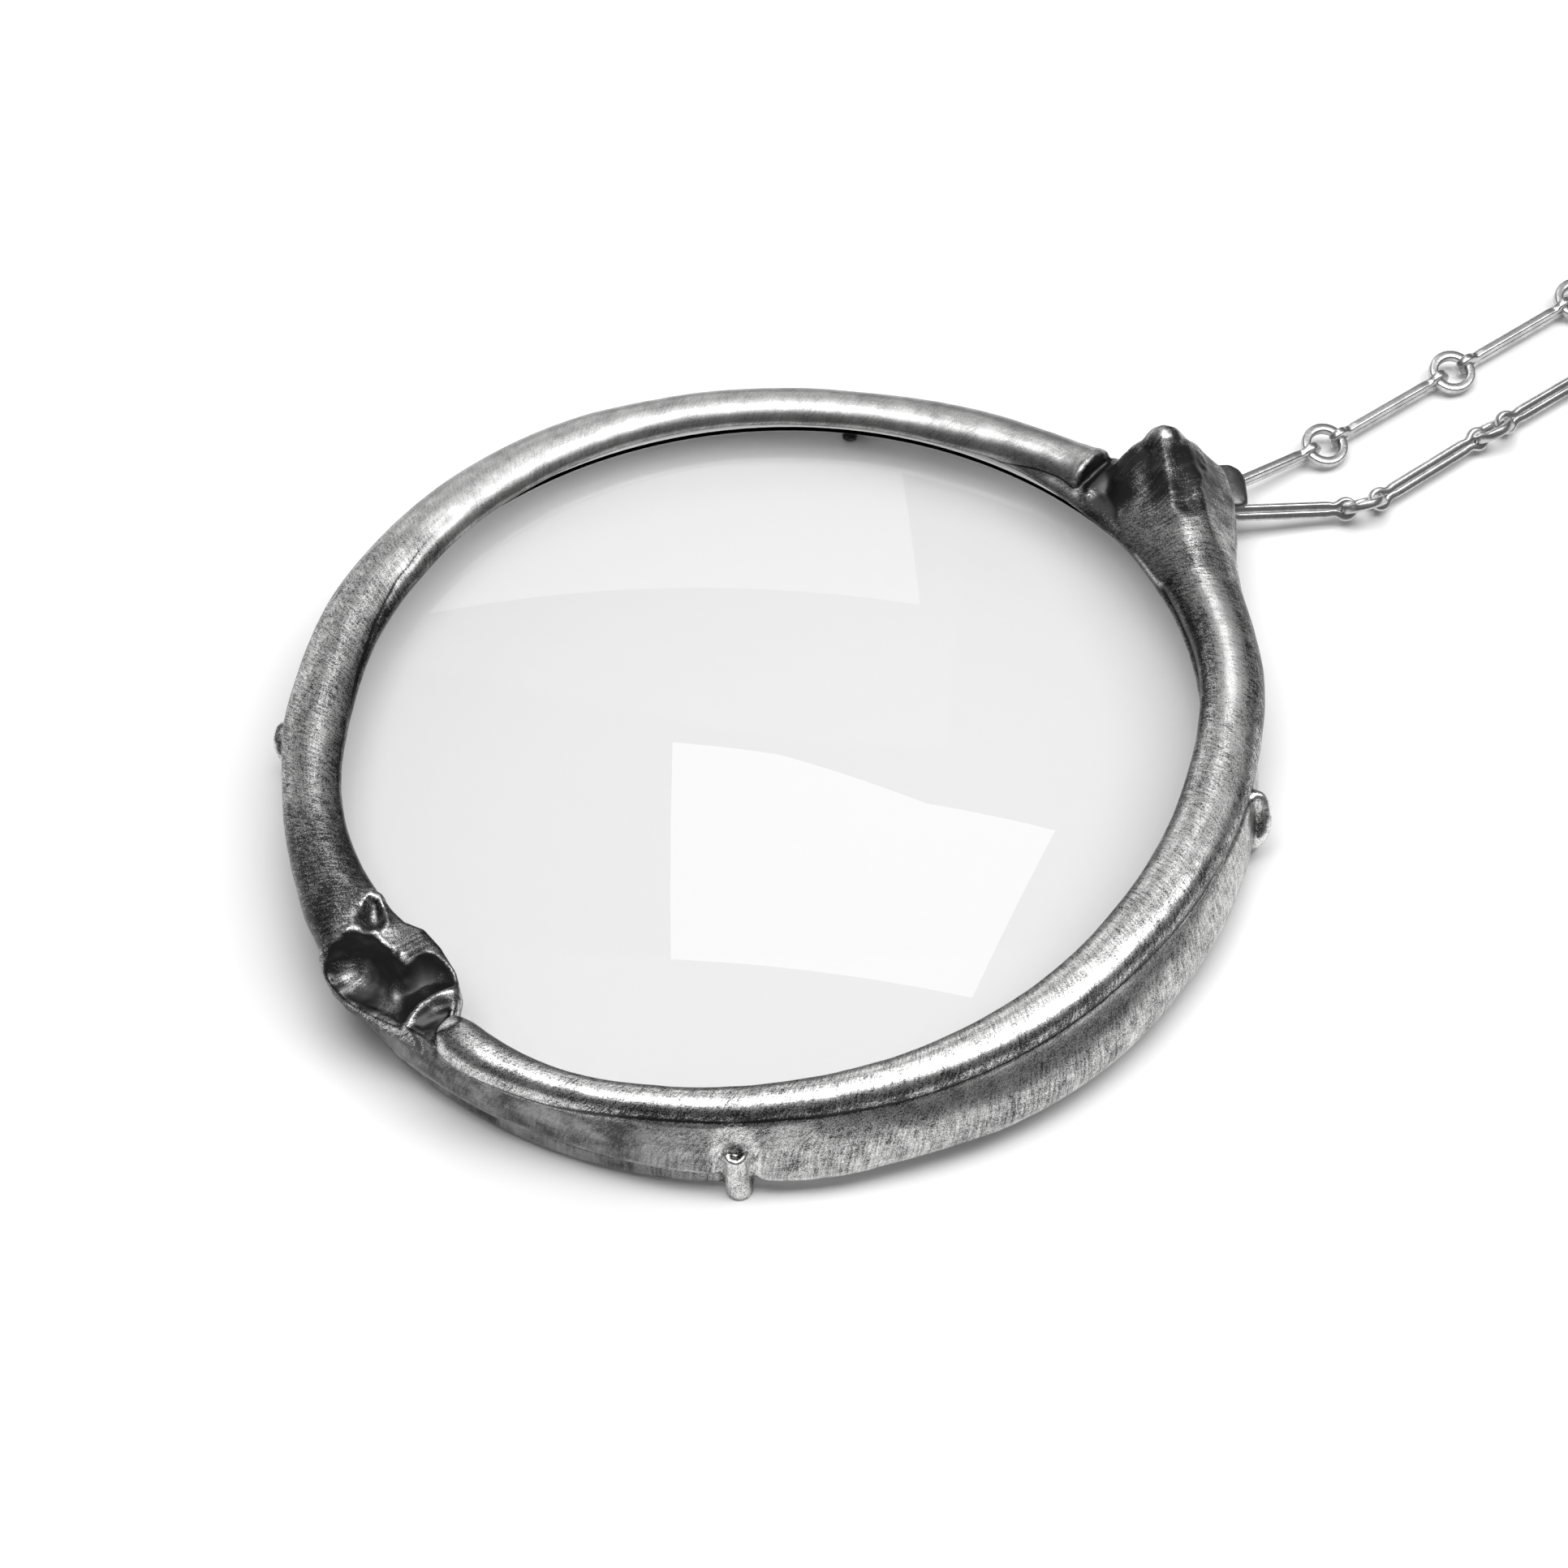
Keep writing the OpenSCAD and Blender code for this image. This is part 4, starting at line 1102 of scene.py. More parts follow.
strip = piece("strip_over_the_chain", *skinned(strip_rings()))
print("strip in mm3:", facing_out(strip))

# %% [markdown]
# ## Where each link lies
#
# The chain is one closed loop: 31 bar links on each side, a round ring after each, and a hook at the
# far end. It runs out from the bail in two strands, spreads, and comes round in a wide bow. A curve
# drawn by hand could carry it, but then the links would not meet at their eyes. Here each ring is laid
# one step beyond the last, and each bar spans two rings. The solid model uses the same short rule.

# %% Sizes of the chain
# Bars on each side; the solid bar's length between the middles of its eyes, its thickness, its eye
BARS = 31
BAR_LEN = 8.75
BAR_T = 0.46
EYE_R = 0.96
RING_R = 1.2
RING_WIRE = 0.56
CLASP_LEN = 13
# From one ring to the next
STEP = BAR_LEN + 2 * RING_R
# Way of the loop in degrees, height of the hanging wire, extra height of each strand's first ring
AXIS = 32
PIN_Z = 2.4
RISE = 0.1
# Where each strand's first ring lies, and the way to it from the bail in degrees
UPPER, LOWER = (39.27, 26.17, 30), (41.21, 20.43, 4.7)
print("one bar and one ring take", STEP, "mm")

# %% How far a strand leans away at each link
LEAD = 2
TURN_OUT = 4
RUN = (BARS - 1 - LEAD - TURN_OUT) // 2
TURN_IN = BARS - 1 - LEAD - TURN_OUT - RUN


def lean(k, w):
    """Lean of link k: straight, turning out to w, straight again, then round in a bow."""
    if k <= LEAD:
        return 0
    if k <= LEAD + TURN_OUT:
        return w * (k - LEAD) / (TURN_OUT + 1)
    if k <= LEAD + TURN_OUT + RUN:
        return w
    return w - (w + 90) * (k - LEAD - TURN_OUT - RUN - 0.5) / TURN_IN


def drift(w):
    """How far the strand ends from the loop's axis, in steps."""
    return sum(math.sin(math.radians(lean(k, w))) for k in range(1, BARS))


half_way = [(UPPER[i] + LOWER[i]) / 2 for i in (0, 1)]
ax = math.radians(AXIS)
off_axis = abs((UPPER[1] - half_way[1]) * math.cos(ax) - (UPPER[0] - half_way[0]) * math.sin(ax))
need = (CLASP_LEN / 2 + RING_R - off_axis) / STEP
low_w, high_w = 0.0, 60.0
for _ in range(24):
    mid_w = (low_w + high_w) / 2
    low_w, high_w = (mid_w, high_w) if drift(mid_w) < need else (low_w, mid_w)
SPREAD = (low_w + high_w) / 2
print("the strands part by", round(SPREAD, 2), "degrees to each side")

# %% How a link rolls and how high it lies
def roll(k, side):
    """Roll of ring k about its strand: turned up near the bail and again near the clasp."""
    near = side * (18 if side > 0 else 45) * max(0, 1 - (k - 1) / 10)
    return near + side * 60 * max(0, (k - BARS + 12) / 12)


def lie(a):
    """Height at which a ring rolled by a, and the eyes in it, just clear the table."""
    s, c = abs(math.sin(math.radians(a))), math.cos(math.radians(a))
    return max(EYE_R * c + BAR_T / 2 * s, RING_R * s + RING_WIRE / 2) + 0.06


def unit(v):
    """The same way, 1 long."""
    return v / np.linalg.norm(v)


def turned(d, a):
    """Turn that lays a link, drawn along X, along d and rolls it by a."""
    return (math.radians(a), -math.asin(d[2] / np.linalg.norm(d)), math.atan2(d[1], d[0]))


print("a flat ring lies at", round(lie(0), 2), "mm, an upright one at", round(lie(90), 2))

# %% Places of the rings
def ring_places(first, side):
    """Rolls and places of one strand's rings, and the pin that its first eye rides on."""
    rolls = [roll(k + 1, side) for k in range(BARS)]
    at = [np.array([first[0], first[1], lie(rolls[0]) + RISE])]
    for k in range(1, BARS):
        h = math.radians(AXIS + side * lean(k, SPREAD))
        flat = at[-1][:2] + STEP * np.array([math.cos(h), math.sin(h)])
        at.append(np.array([*flat, lie(rolls[k])]))
    reach = math.sqrt((BAR_LEN + RING_R) ** 2 - (PIN_Z - at[0][2]) ** 2)
    h = math.radians(first[2])
    pin = np.array([first[0] - reach * math.cos(h), first[1] - reach * math.sin(h), PIN_Z])
    return rolls, at, pin


print("the upper strand ends at", ring_places(UPPER, 1)[1][-1].round(1))

# %% Places and turns of all links
def strand(first, side, first_roll):
    """Places, turns and kinds of all the links of one strand; kind 0 is a ring and 1 is a bar."""
    rolls, at, pin = ring_places(first, side)
    runs = [unit(at[0] - pin)] + [unit(at[k] - at[k - 1]) for k in range(1, BARS)]
    runs.append(side * np.array([math.sin(ax), -math.cos(ax), 0]))
    links, holds = [], []
    for k in range(BARS):
        u = runs[k] + runs[k + 1]
        s = np.array([-u[1], u[0], 0]) / math.hypot(u[0], u[1])
        r = math.radians(rolls[k])
        n = math.cos(r) * np.cross(u, s) / np.linalg.norm(u) - math.sin(r) * s
        links.append((at[k], turned(u, rolls[k]), 0))
        ends = [d - n * (d @ n) for d in (-runs[k], runs[k + 1])]
        holds.append([at[k] + RING_R * unit(e) for e in ends])
    starts = [pin] + [h[1] for h in holds[:-1]]
    for k, (a, b) in enumerate(zip(starts, [h[0] for h in holds])):
        lean_over = first_roll if k == 0 else (rolls[k - 1] + rolls[k]) / 2 - 9 * (side > 0)
        links.append(((a + b) / 2, turned(b - a, lean_over), 1))
    return links, pin


UPPER_ROLL, LOWER_ROLL = 14, -36
upper_links, high_pin = strand(UPPER, 1, UPPER_ROLL)
lower_links, low_pin = strand(LOWER, -1, LOWER_ROLL)
links = upper_links + lower_links
print(len(links), "links, pins at", high_pin.round(2), low_pin.round(2))

# %% [markdown]
# ## The hanging wire
#
# The wire comes down out of the head, passes through both first eyes at right angles to their links,
# and goes back up. A curve with a bevel would do, but its ends would need caps of their own. So rings
# of points are laid along the wire's path and skinned, as for the strip.

# %% A round wire along a path
def tube(path, size, sides=10):
    """Rings of a round wire along a path."""
    path = np.asarray(path, float)
    ways = np.gradient(path, axis=0)
    ways /= np.linalg.norm(ways, axis=1)[:, None]
    side = unit(np.cross(ways[0], [0.31, 0.2, 0.93]))
    rings = []
    for p, w in zip(path, ways):
        side = unit(side - w * (side @ w))
        up = np.cross(w, side)
        a = np.arange(sides) * 2 * math.pi / sides
        rings.append(p + size * (np.cos(a)[:, None] * side + np.sin(a)[:, None] * up))
    return rings


print("a straight wire of 3 points gets", len(tube([(0, 0, 0), (1, 0, 0), (2, 0, 0)], 0.3)), "rings")

# %% The wire that the first eyes ride on
WIRE_R = 0.32
WIRE_TOP = 4.6


def way_out(first, a, side):
    """The way through the eye of a strand's first link, which is rolled by a."""
    h, a = math.radians(first[2]), math.radians(a)
    return side * np.array([-math.sin(h) * math.cos(a), math.cos(h) * math.cos(a), math.sin(a)])


low_out, high_out = way_out(LOWER, LOWER_ROLL, -1), way_out(UPPER, UPPER_ROLL, 1)
corners = [low_pin + 0.8 * low_out, low_pin - 0.5 * low_out, high_pin - 0.5 * high_out,
           high_pin + 0.8 * high_out]
corners = [np.array([corners[0][0] - 0.7, corners[0][1], WIRE_TOP])] + corners
corners.append(np.array([corners[-1][0] - 0.7, corners[-1][1], WIRE_TOP]))
legs = [np.linspace(a, b, 8, endpoint=False) for a, b in zip(corners, corners[1:])]
course = np.concatenate(legs + [corners[-1:]])
course[1:-1] = (course[:-2] + 2 * course[1:-1] + course[2:]) / 4
pin_wire = piece("hanging_wire", *skinned(tube(course, WIRE_R)))
print("wire in mm3:", facing_out(pin_wire))

# %% [markdown]
# ## Links by Geometry Nodes
#
# A link repeats more than a hundred times, so it is drawn once. A bar link is one wire bent into a
# long loop: its two sides lie together and open into an eye at each end. Its path is a short row of
# points. A node tree thickens that path and a circle into wire, puts a copy on each link's place with
# its own turn, and makes them real. Every size is an input of the tree.

# %% The path of one bar link
EYE_MID = 0.54
PRESS = 0.26
THIN = 0.8


def bar_path():
    """Closed path of the wire, drawn flat in X and Z, and its thickness at each point."""
    end = BAR_LEN / 2 - 0.06
    quarter = []
    for t in np.linspace(0, 140, 9):
        a = math.radians(t)
        quarter.append((end + EYE_MID * math.cos(a), EYE_MID * math.sin(a), THIN))
    quarter += [(end - 0.68, 0.22, 0.72), (end - 0.95, 0.2, 0.75)]
    quarter += [(end - 1.25, PRESS, 1), (end - 1.6, PRESS, 1), (1.2, PRESS, 1)]
    upper_half = quarter + [(-x, z, w) for x, z, w in quarter[::-1]]
    return upper_half + [(x, -z, w) for x, z, w in upper_half[-2:0:-1]]


path = bar_path()
path_points = [(x * MM, 0, z * MM) for x, z, _ in path]
path_edges = [(i, (i + 1) % len(path)) for i in range(len(path))]
path_mesh = bpy.data.meshes.new("bar_link_path")
path_mesh.from_pydata(path_points, path_edges, [])
path_mesh.attributes.new("thickness", "FLOAT", "POINT").data.foreach_set("value", [w for _, _, w in path])
path_object = bpy.data.objects.new("bar_link_path", path_mesh)
print("path points", len(path))

# %% [markdown]
# Trees of nodes are long to write out, because each sum and each product is a node of its own. Two
# small classes make that short. They are used for the chain here, and for all materials later.

# %% A small class for sockets
class Wire:
    """One socket of a node tree. Sums and products of wires add the Math nodes they need."""

    def __init__(self, tree, socket):
        self.tree = tree
        self.socket = socket

    def maths(self, operation, *values, clamp=False):
        """This wire and other values, put through a Math node."""
        sockets = dict(enumerate((self, *values)))
        return self.tree.add("ShaderNodeMath", sockets, operation=operation, use_clamp=clamp)

    def __add__(self, other):
        return self.maths("ADD", other)

    def __sub__(self, other):
        return self.maths("SUBTRACT", other)

    def __rsub__(self, other):
        return (self * -1).maths("ADD", other)

    def __mul__(self, other):
        return self.maths("MULTIPLY", other)

    __radd__ = __add__
    __rmul__ = __mul__

    def clamped(self):
        """The same value, held between 0 and 1."""
        return self.maths("ADD", 0.0, clamp=True)


print("sums of wires are ready")

# %% A small class for node trees
def set_stops(elements, stops):
    """Gives a colour ramp its stops, each a place and a colour."""
    elements.remove(elements[-1])
    elements[0].position, elements[0].color = stops[0]
    for place, colour in stops[1:]:
        elements.new(place).color = colour


class Tree:
    """A node tree of a material or of geometry."""

    def __init__(self, tree):
        self.tree = tree

    def feed(self, place, value):
        """Puts a wire, a list of wires or a plain value into a socket."""
        if isinstance(value, list):
            for wire in value:
                self.feed(place, wire)
        elif isinstance(value, Wire):
            self.tree.links.new(value.socket, place)
        else:
            place.default_value = value

    def add(self, kind, sockets=None, out=0, **settings):
        """Adds a node: its settings first, then the values or wires of its sockets."""
        node = self.tree.nodes.new(kind)
        for name, value in settings.items():
            if name == "stops":
                set_stops(node.color_ramp.elements, value)
            else:
                setattr(node, name, value)
        for name, value in (sockets or {}).items():
            self.feed(node.inputs[name], value)
        return Wire(self, node.outputs[out]) if len(node.outputs) else None

    def noise(self, place, scale, detail, roughness=0.6):
        """A cloudy pattern between 0 and 1."""
        sockets = {"Vector": place, "Scale": scale, "Detail": detail, "Roughness": roughness}
        return self.add("ShaderNodeTexNoise", sockets)


print("node trees are ready")

# %% The inputs of the tree that forges the chain
def chain_group():
    """An empty node group with the sockets that the chain needs."""
    group = bpy.data.node_groups.new("chain_of_links", "GeometryNodeTree")
    group.is_modifier = True
    kinds = {
        "Places": "Geometry", "Bar path": "Object", "Bar wire": "Float", "Ring radius": "Float",
        "Ring wire": "Float", "Metal": "Material",
    }
    for name, kind in kinds.items():
        group.interface.new_socket(name, in_out="INPUT", socket_type="NodeSocket" + kind)
    group.interface.new_socket("Chain", in_out="OUTPUT", socket_type="NodeSocketGeometry")
    return group


forge = chain_group()
input_ids = {s.name: s.identifier for s in forge.interface.items_tree if s.in_out == "INPUT"}
print("inputs:", list(input_ids))

# %% Wire of a given thickness along a curve
CORNER = 0.22


def bent_wire(t, curve, thick):
    """A curve thickened into wire: its section is a square with well-rounded corners."""
    square = t.add("GeometryNodeCurvePrimitiveQuadrilateral", {"Width": thick, "Height": thick})
    sockets = {"Curve": square, "Radius": thick * CORNER, "Count": 2}
    section = t.add("GeometryNodeFilletCurve", sockets, mode="POLY")
    return t.add("GeometryNodeCurveToMesh", {"Curve": curve, "Profile Curve": section})


def stored(t, name, data_type):
    """What the mesh has stored at each point under a name."""
    return t.add("GeometryNodeInputNamedAttribute", {"Name": name}, data_type=data_type)


print("the section's corners take", CORNER, "of its width")

# %% The tree that forges the chain
def fill_chain_tree(group):
    """Puts a bar link or a ring on each place, makes them real and gives them their metal."""
    t = Tree(group)
    given = {name: t.add("NodeGroupInput", out=name) for name in input_ids}
    spin = t.add("FunctionNodeEulerToRotation", {"Euler": stored(t, "turn", "FLOAT_VECTOR")})
    info = t.add("GeometryNodeObjectInfo", {"Object": given["Bar path"]}, out="Geometry")
    loop = t.add("GeometryNodeMeshToCurve", {"Mesh": info}, out="Curve")
    loop = t.add("GeometryNodeSetCurveRadius", {"Curve": loop, "Radius": stored(t, "thickness", "FLOAT")})
    bar = bent_wire(t, loop, given["Bar wire"])
    circle = t.add("GeometryNodeCurvePrimitiveCircle", {"Resolution": 28, "Radius": given["Ring radius"]})
    ring = bent_wire(t, circle, given["Ring wire"])
    kind = stored(t, "kind", "FLOAT")
    copies = []
    for link, chosen in ((bar, kind), (ring, 1 - kind)):
        sockets = {"Points": given["Places"], "Selection": chosen, "Instance": link, "Rotation": spin}
        copies.append(t.add("GeometryNodeInstanceOnPoints", sockets))
    both = t.add("GeometryNodeJoinGeometry", {0: copies})
    real = t.add("GeometryNodeRealizeInstances", {"Geometry": both})
    soft = t.add("GeometryNodeSetShadeSmooth", {0: real})
    done = t.add("GeometryNodeSetMaterial", {"Geometry": soft, "Material": given["Metal"]})
    t.add("NodeGroupOutput", {"Chain": done})


fill_chain_tree(forge)
print("nodes in the chain's tree:", len(forge.nodes))

# %% [markdown]
# ## The metals
#
# Rubbed silver is not one colour: a bright metal shows through a thin dark film. Both are metallic,
# so only their colour and their roughness differ. The darkness worked out above mixes them, broken
# up by fine noise. Two sets of hairline scratches, one along the bones and one across, and a fine
# grain go into the bump. Painted pictures of scratches would do too, but they would need the mesh
# unrolled first. The photograph is black and white, so the greys stay neutral.

# %% Begin and end a material
def new_material(name):
    """An empty material and its tree."""
    made = bpy.data.materials.new(name)
    made.use_nodes = True
    made.node_tree.nodes.clear()
    return made, Tree(made.node_tree)


def finish_material(made, shader):
    """Sends a shader to the surface of its material."""
    shader.tree.add("ShaderNodeOutputMaterial", {"Surface": shader})
    return made


def grey(tone):
    """A neutral colour."""
    return (tone, tone, tone, 1)


def light_to_dark_metal(t, dark_mix, light, dark, rough, bump):
    """Metal that is light where dark_mix is 0 and dark where it is 1."""
    colour = t.add("ShaderNodeMix", {0: dark_mix, 6: light, 7: dark}, out=2, data_type="RGBA")
    sockets = {"Base Color": colour, "Metallic": 1.0, "Roughness": rough, "Normal": bump}
    return t.add("ShaderNodeBsdfPrincipled", sockets)


print("a middle grey:", grey(0.5))

# %% A thin dark line
SEAM_HALF = 0.08
CREASE_HALF = 0.11


def thin_line(gap, here, half_width):
    """1 on a thin line where gap changes its sign, 0 away from it."""
    near = (1 - gap.maths("ABSOLUTE") * (1 / half_width)).clamped()
    return near * here


print("seam lines are", 2 * SEAM_HALF, "mm wide, the crease's line", 2 * CREASE_HALF)

# %% The bezel's rubbed silver
SILVER = (0.86, 0.86, 0.855, 1)


def rubbed_and_shaded_silver():
    """Silver with a dark film, painted shade, a painted highlight, scratches, and dark lines where forms
    meet.
    """
    made, t = new_material("rubbed_and_shaded_silver")
    place = t.add("ShaderNodeTexCoord", out="Object")
    names = ("darkness", "along", "girth", "grit", "seam", "seam_here", "crease", "crease_here")
    stored_values = [t.add("ShaderNodeAttribute", attribute_name=name, out="Fac") for name in names]
    dark, along, girth, grit, seam, seam_here, crease, crease_here = stored_values
    lengthways = t.add("ShaderNodeCombineXYZ", {"X": along * 0.7, "Y": girth * 8.0})
    crossways = t.add("ShaderNodeCombineXYZ", {"X": along * 5.5 + girth * 3.0, "Y": girth * 1.5})
    hair_a = t.noise(lengthways, 1.0, 3.0)
    hair_b = t.noise(crossways, 1.0, 4.0)
    grain = t.noise(place, 13000.0, 1.0)
    blotch = t.noise(place, 800.0, 4.0)
    marks = (grain - 0.5) * 2.3 + (hair_b - 0.5) * 1.9 + (hair_a - 0.5) * 0.8
    marks = marks + (blotch - 0.5) * 0.7
    lines = thin_line(seam, seam_here, SEAM_HALF) + thin_line(crease, crease_here, CREASE_HALF)
    # The darkness attribute brings painted shade and painted highlight along with the film
    dark_mix = (dark + marks * grit + lines * 0.9).clamped()
    rough = 0.28 + dark_mix * 0.06 + (1 - grit) * 0.13
    height = (grain * 0.5 + hair_a * 0.3 + hair_b * 0.8) * grit
    bump = t.add("ShaderNodeBump", {"Strength": 0.5, "Distance": 0.00003, "Height": height})
    return finish_material(made, light_to_dark_metal(t, dark_mix, SILVER, grey(0.05), rough, bump))


bezel.data.materials.append(rubbed_and_shaded_silver())
print("nodes in rubbed silver:", len(bezel.data.materials[0].node_tree.nodes))

# %% Darker silver for the chain and the strip
def dark_silver(name, dark_tone, light_tone, base_rough):
    """Silver with a patchy film between two greys."""
    made, t = new_material(name)
    place = t.add("ShaderNodeTexCoord", out="Object")
    grain = t.noise(place, 4500.0, 3.0)
    blotch = t.noise(place, 700.0, 3.0)
    dark_mix = ((grain - 0.5) * 0.8 + (blotch - 0.5) * 1.4 + 0.5).clamped()
    rough = base_rough + dark_mix * 0.15
    bump = t.add("ShaderNodeBump", {"Strength": 0.25, "Distance": 0.00004, "Height": grain})
    return finish_material(made, light_to_dark_metal(t, dark_mix, grey(light_tone), grey(dark_tone), rough, bump))


chain_metal = dark_silver("chain_silver", 0.3, 0.75, 0.22)
strip_metal = dark_silver("blackened_silver", 0.05, 0.22, 0.28)
strip.data.materials.append(strip_metal)
pin_wire.data.materials.append(strip_metal)
print("metals:", [m.name for m in (bezel.data.materials[0], chain_metal, strip_metal)])

# %% The places of the links as points
places = bpy.data.meshes.new("link_places")
places.from_pydata(placed([p for p, _, _ in links]), [], [])
turns = np.array([turn for _, turn, _ in links])
kinds = [float(kind) for _, _, kind in links]
places.attributes.new("turn", "FLOAT_VECTOR", "POINT").data.foreach_set("vector", turns.ravel())
places.attributes.new("kind", "FLOAT", "POINT").data.foreach_set("value", kinds)
carrier = bpy.data.objects.new("link_places", places)
bpy.context.scene.collection.objects.link(carrier)
print("places:", len(places.vertices), "of them bars:", int(sum(kinds)))

# %% Forge the chain and make it one plain mesh
# In mm: the wire of a bar, a ring's radius to the middle of its wire, the wire of a ring
LINK_SIZES = {"Bar wire": 0.56, "Ring radius": 1.3, "Ring wire": 0.62}
worker = carrier.modifiers.new("forge", "NODES")
worker.node_group = forge
worker[input_ids["Bar path"]] = path_object
for name, size in LINK_SIZES.items():
    worker[input_ids[name]] = size * MM
worker[input_ids["Metal"]] = chain_metal
carrier.update_tag()
bpy.context.view_layer.update()
deps = bpy.context.evaluated_depsgraph_get()
chain_mesh = bpy.data.meshes.new_from_object(carrier.evaluated_get(deps))
chain_mesh.name = "chain_links"
chain = bpy.data.objects.new("chain_links", chain_mesh)
bpy.context.scene.collection.objects.link(chain)
carrier.modifiers.remove(worker)
bpy.data.objects.remove(carrier)
bpy.data.objects.remove(path_object)
print("chain:", len(chain_mesh.polygons), "faces,", facing_out(chain), "mm3")

# %% [markdown]
# ## Clear glass that lets the lamps through
#
# Real glass bends light, and its shadow is bright. A path tracer needs very many samples for that,
# so the material is true glass to the eye, and plain clear to the lamps' shadow rays and to the light
# that the table sends back. The table under it then stays white, as in the photograph. The underside
# has a material of its own that reflects nothing, because a second picture of the window, thrown back
# by the lower face, isn't seen in the photograph.

# %% The glass
def clear_glass(name, glint):
    """Clear glass; glint is how much of its reflection shows."""
    made, t = new_material(name)
    place = t.add("ShaderNodeTexCoord", out="Object")
    smear = t.noise(place, 60.0, 3.0, 0.5)
    rough = (smear - 0.5).maths("MAXIMUM", 0.0) * 0.06
    look_of_glass = {"IOR": 1.5, "Transmission Weight": 1.0, "Specular Tint": grey(glint)}
    sockets = {"Base Color": grey(0.915), "Roughness": rough, **look_of_glass}
    body = t.add("ShaderNodeBsdfPrincipled", sockets)
    clear = t.add("ShaderNodeBsdfTransparent", {"Color": grey(0.93)})
    shadow = t.add("ShaderNodeLightPath", out="Is Shadow Ray")
    bounce = t.add("ShaderNodeLightPath", out="Is Diffuse Ray")
    both = t.add("ShaderNodeMixShader", {0: shadow.maths("MAXIMUM", bounce), 1: body, 2: clear})
    return finish_material(made, both)


glass.data.materials.append(clear_glass("clear_glass", 1.0))
glass.data.materials.append(clear_glass("glass_underside", 0.0))
for face in glass.data.polygons:
    face.material_index = int(face.center.z < (RIM_LOW + 0.05) * MM)
print("faces of the underside:", sum(face.material_index for face in glass.data.polygons))

# %% The clasp's metal
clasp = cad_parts["clasp"]
clasp.data.materials.clear()
clasp.data.materials.append(chain_metal)
print("the clasp is made of", clasp.data.materials[0].name)

# %% [markdown]
# ## Ride and replace
#
# The part has no joint, so every piece rides on its one body. Each piece also hides the solid it
# stands for. The clasp keeps its own solid, only with a better metal, because it lies far outside the
# photograph.

# %% Tie each piece to the part
for made, node, finish in (
    (bezel, "frame", "silver"), (strip, "frame", "silver"), (pin_wire, "frame", "silver"),
    (glass, "lens", "glass"), (chain, "chain", "dark_silver"),
):
    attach(made, "root")
    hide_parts(node)
print("pieces ride on root")

# %% [markdown]
# ## The table and the camera
#
# The photograph shows the pendant on a white sweep. Only its flat part is seen, so a plain white
# square stands for it. The camera looks down at it from some way off, with a narrow field of view.
# Its angle was fitted to the outline of the rim and to the chain that lies on the table.

# %% The table
HALF_TABLE = 3
floor_mesh = bpy.data.meshes.new("table")
floor_corners = [(x * HALF_TABLE, y * HALF_TABLE, 0) for x, y in ((-1, -1), (1, -1), (1, 1), (-1, 1))]
floor_mesh.from_pydata(floor_corners, [], [(0, 1, 2, 3)])
floor = bpy.data.objects.new("table", floor_mesh)
bpy.context.scene.collection.objects.link(floor)
white, t = new_material("white_sweep")
floor_mesh.materials.append(finish_material(white, t.add("ShaderNodeBsdfDiffuse", {"Color": grey(0.9)})))
print("the table is", 2 * HALF_TABLE, "m wide")

# %% The camera at the photograph's angle
ELEVATION = math.radians(50.5)
TILT = math.radians(-4.5)
DISTANCE = 380
# Half the photograph's width and the focal length, both in the photograph's pixels
HALF_PHOTO = 966
FOCAL = 7180
# The point on the table that the camera looks at, beside the middle of the glass
target = np.array([0.94, 1.195, 0]) + middle
back = np.array([0, -math.cos(ELEVATION), math.sin(ELEVATION)])
level = np.array([1.0, 0, 0])
upright = np.cross(back, level)
right = level * math.cos(TILT) + upright * math.sin(TILT)
up = upright * math.cos(TILT) - level * math.sin(TILT)
eye = (target + back * DISTANCE) * MM
print("camera at", [round(float(v), 4) for v in eye])

# %% Set the camera up
camera_data = bpy.data.cameras.new("camera")
camera_data.lens_unit = "FOV"
camera_data.sensor_fit = "HORIZONTAL"
camera_data.angle = 2 * math.atan(HALF_PHOTO / FOCAL)
camera_data.clip_start = 0.01
camera_data.clip_end = 20
camera = bpy.data.objects.new("camera", camera_data)
rows = [[right[i], up[i], back[i], eye[i]] for i in range(3)]
camera.matrix_world = Matrix(rows + [[0, 0, 0, 1]])
bpy.context.scene.collection.objects.link(camera)
bpy.context.scene.camera = camera
print("field of view in degrees:", round(math.degrees(camera_data.angle), 2))

# %% [markdown]
# ## The lights
#
# The light in the photograph is soft. A large lamp overhead makes the pale streak along each bone
# and the soft shadow under the glass. A dim sky leaves the flanks dark. Two glowing sheets are there
# for the glass: a window, whose sharp-edged picture falls on its lower right, and a pale screen far
# behind, whose picture is the paler part at the top. Their corners were found by following the view
# ray of each corner in the photograph off the domed glass.

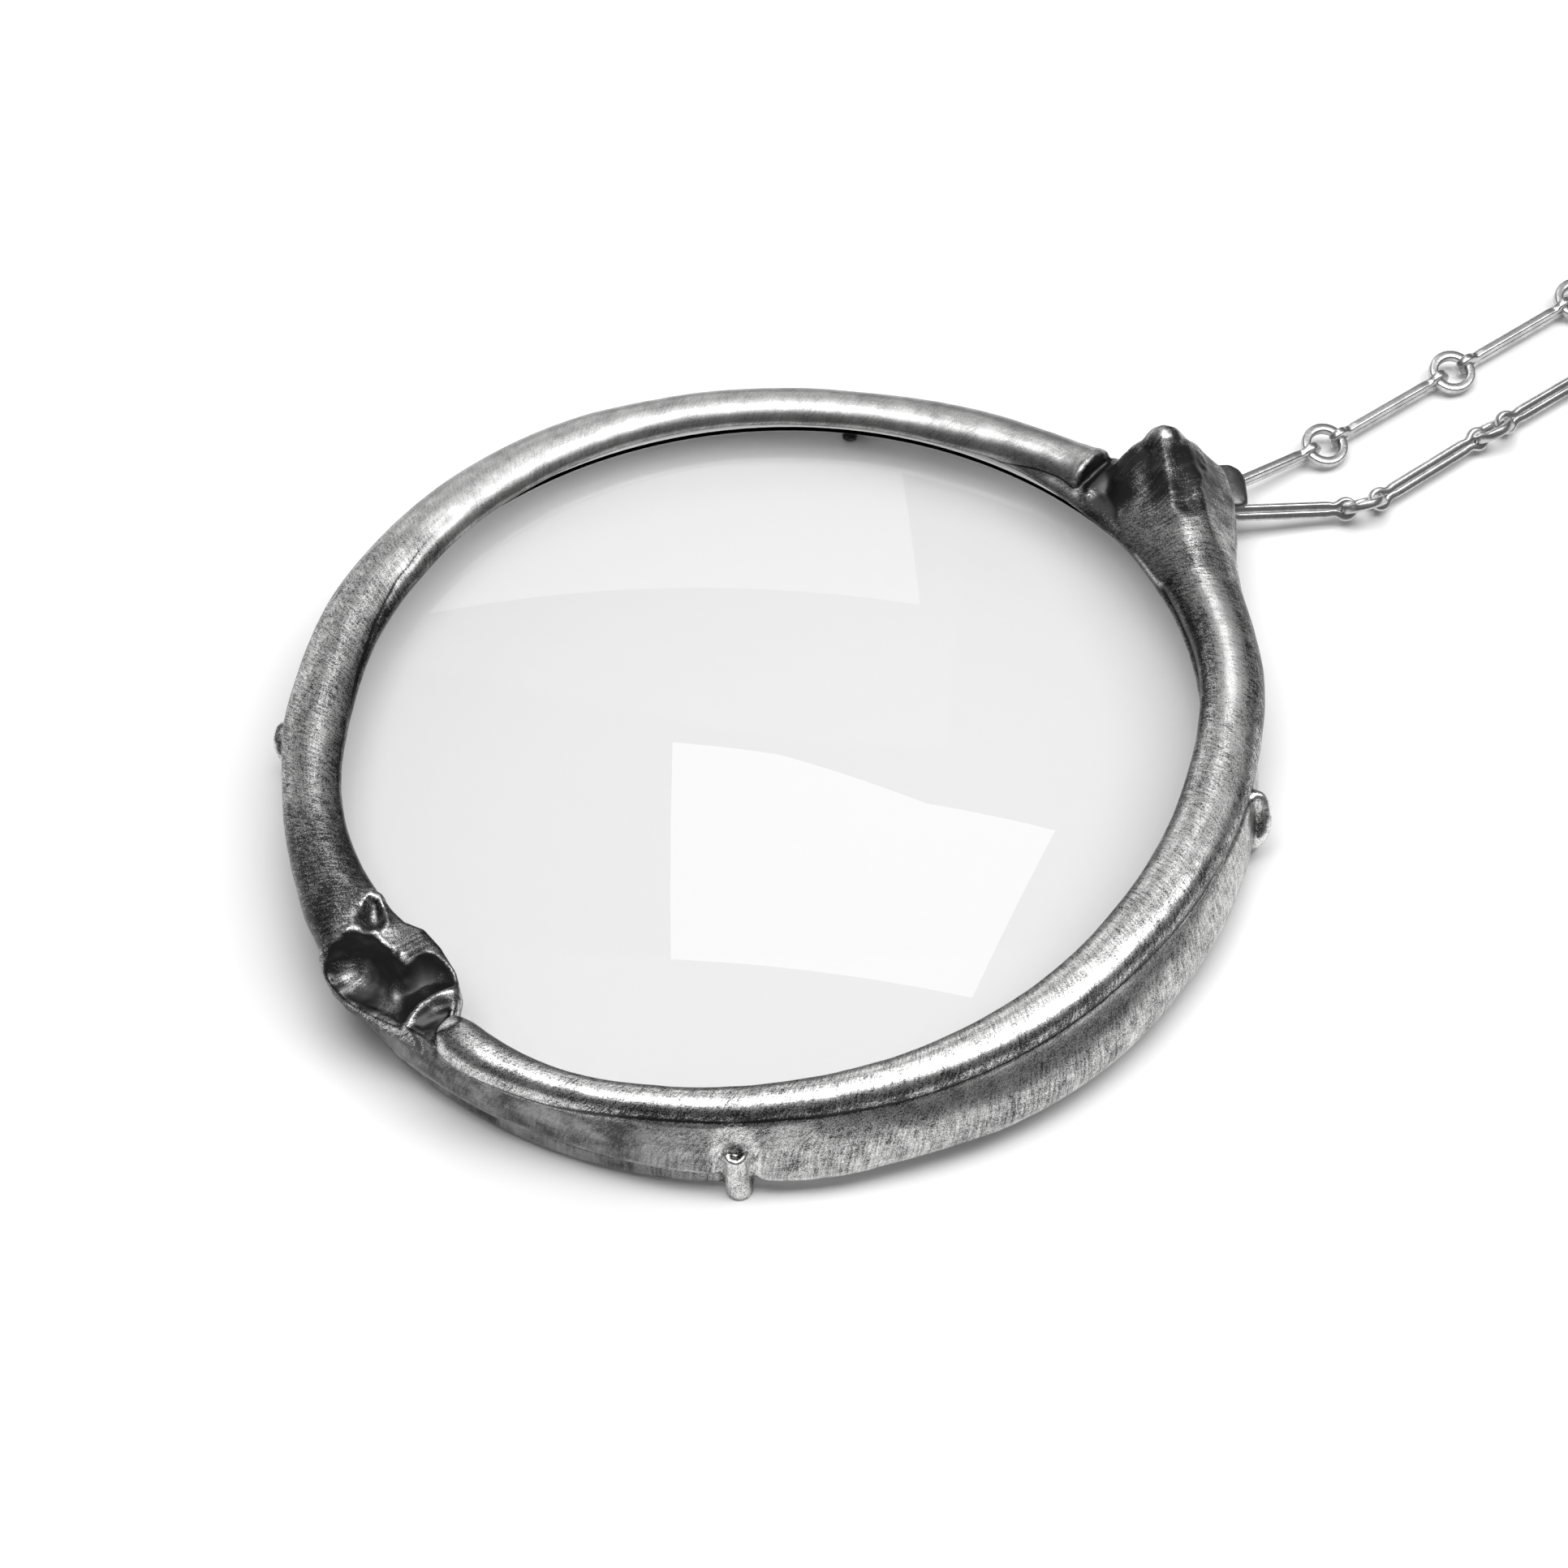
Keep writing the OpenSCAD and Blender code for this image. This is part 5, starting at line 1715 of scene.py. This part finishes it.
# %% The sky
world = bpy.data.worlds.new("studio")
bpy.context.scene.world = world
world.use_nodes = True
world.node_tree.nodes.clear()
t = Tree(world.node_tree)
way = t.add("ShaderNodeTexCoord", out="Generated")
backwards = t.add("ShaderNodeSeparateXYZ", {0: way}, out="Y")
upwards = t.add("ShaderNodeSeparateXYZ", {0: way}, out="Z")
sky_stops = [(0.0, grey(0.1)), (0.5, grey(0.14)), (1.0, grey(0.3))]
tone = t.add("ShaderNodeValToRGB", {0: upwards * 0.978 + backwards * 0.208}, stops=sky_stops)
sky = t.add("ShaderNodeBackground", {"Color": tone, "Strength": 1.0})
t.add("ShaderNodeOutputWorld", {"Surface": sky})
made_stops = tone.socket.node.color_ramp.elements
print("sky stops:", [(s.position, round(s.color[0], 2)) for s in made_stops])

# %% The lamp overhead
# Its middle in mm round the glass, its size in metres, and how bright its face looks
LAMP_MID = (185, -60, 600)
LAMP_WIDTH = 870 * MM
LAMP_DEPTH = 340 * MM
LAMP_GLOW = 5.4
lamp_data = bpy.data.lights.new("overhead", "AREA")
lamp_data.shape = "RECTANGLE"
lamp_data.size = LAMP_WIDTH
lamp_data.size_y = LAMP_DEPTH
lamp_data.energy = LAMP_GLOW * math.pi * LAMP_WIDTH * LAMP_DEPTH
lamp = bpy.data.objects.new("overhead", lamp_data)
lamp.location = placed(LAMP_MID)
lamp.visible_camera = False
bpy.context.scene.collection.objects.link(lamp)
print("the lamp gives", round(lamp_data.energy, 2), "W")

# %% The sheets that the glass mirrors
# Their corners in mm round the glass
WINDOW = [
    (-57, 410, 500), (5, 384, 500), (87, 330, 500), (161, 311, 500), (99, 171, 500), (-62, 212, 500),
]
FAR_SCREEN = [(-521, 400, 30), (45, 400, 120), (76, 400, 342), (-560, 400, 175)]


def light_sheet(name, corners, glow):
    """A glowing sheet with a free outline; the camera doesn't see it."""
    mesh = bpy.data.meshes.new(name)
    mesh.from_pydata(placed(corners), [], [tuple(range(len(corners)))])
    sheet = bpy.data.objects.new(name, mesh)
    bpy.context.scene.collection.objects.link(sheet)
    made, t = new_material(name + "_light")
    shine = t.add("ShaderNodeEmission", {"Color": grey(1), "Strength": glow})
    mesh.materials.append(finish_material(made, shine))
    sheet.visible_camera = False


light_sheet("window", WINDOW, 2.8)
light_sheet("far_screen", FAR_SCREEN, 1.3)
bpy.context.scene.view_settings.view_transform = "Standard"
bpy.context.scene.view_settings.look = "None"
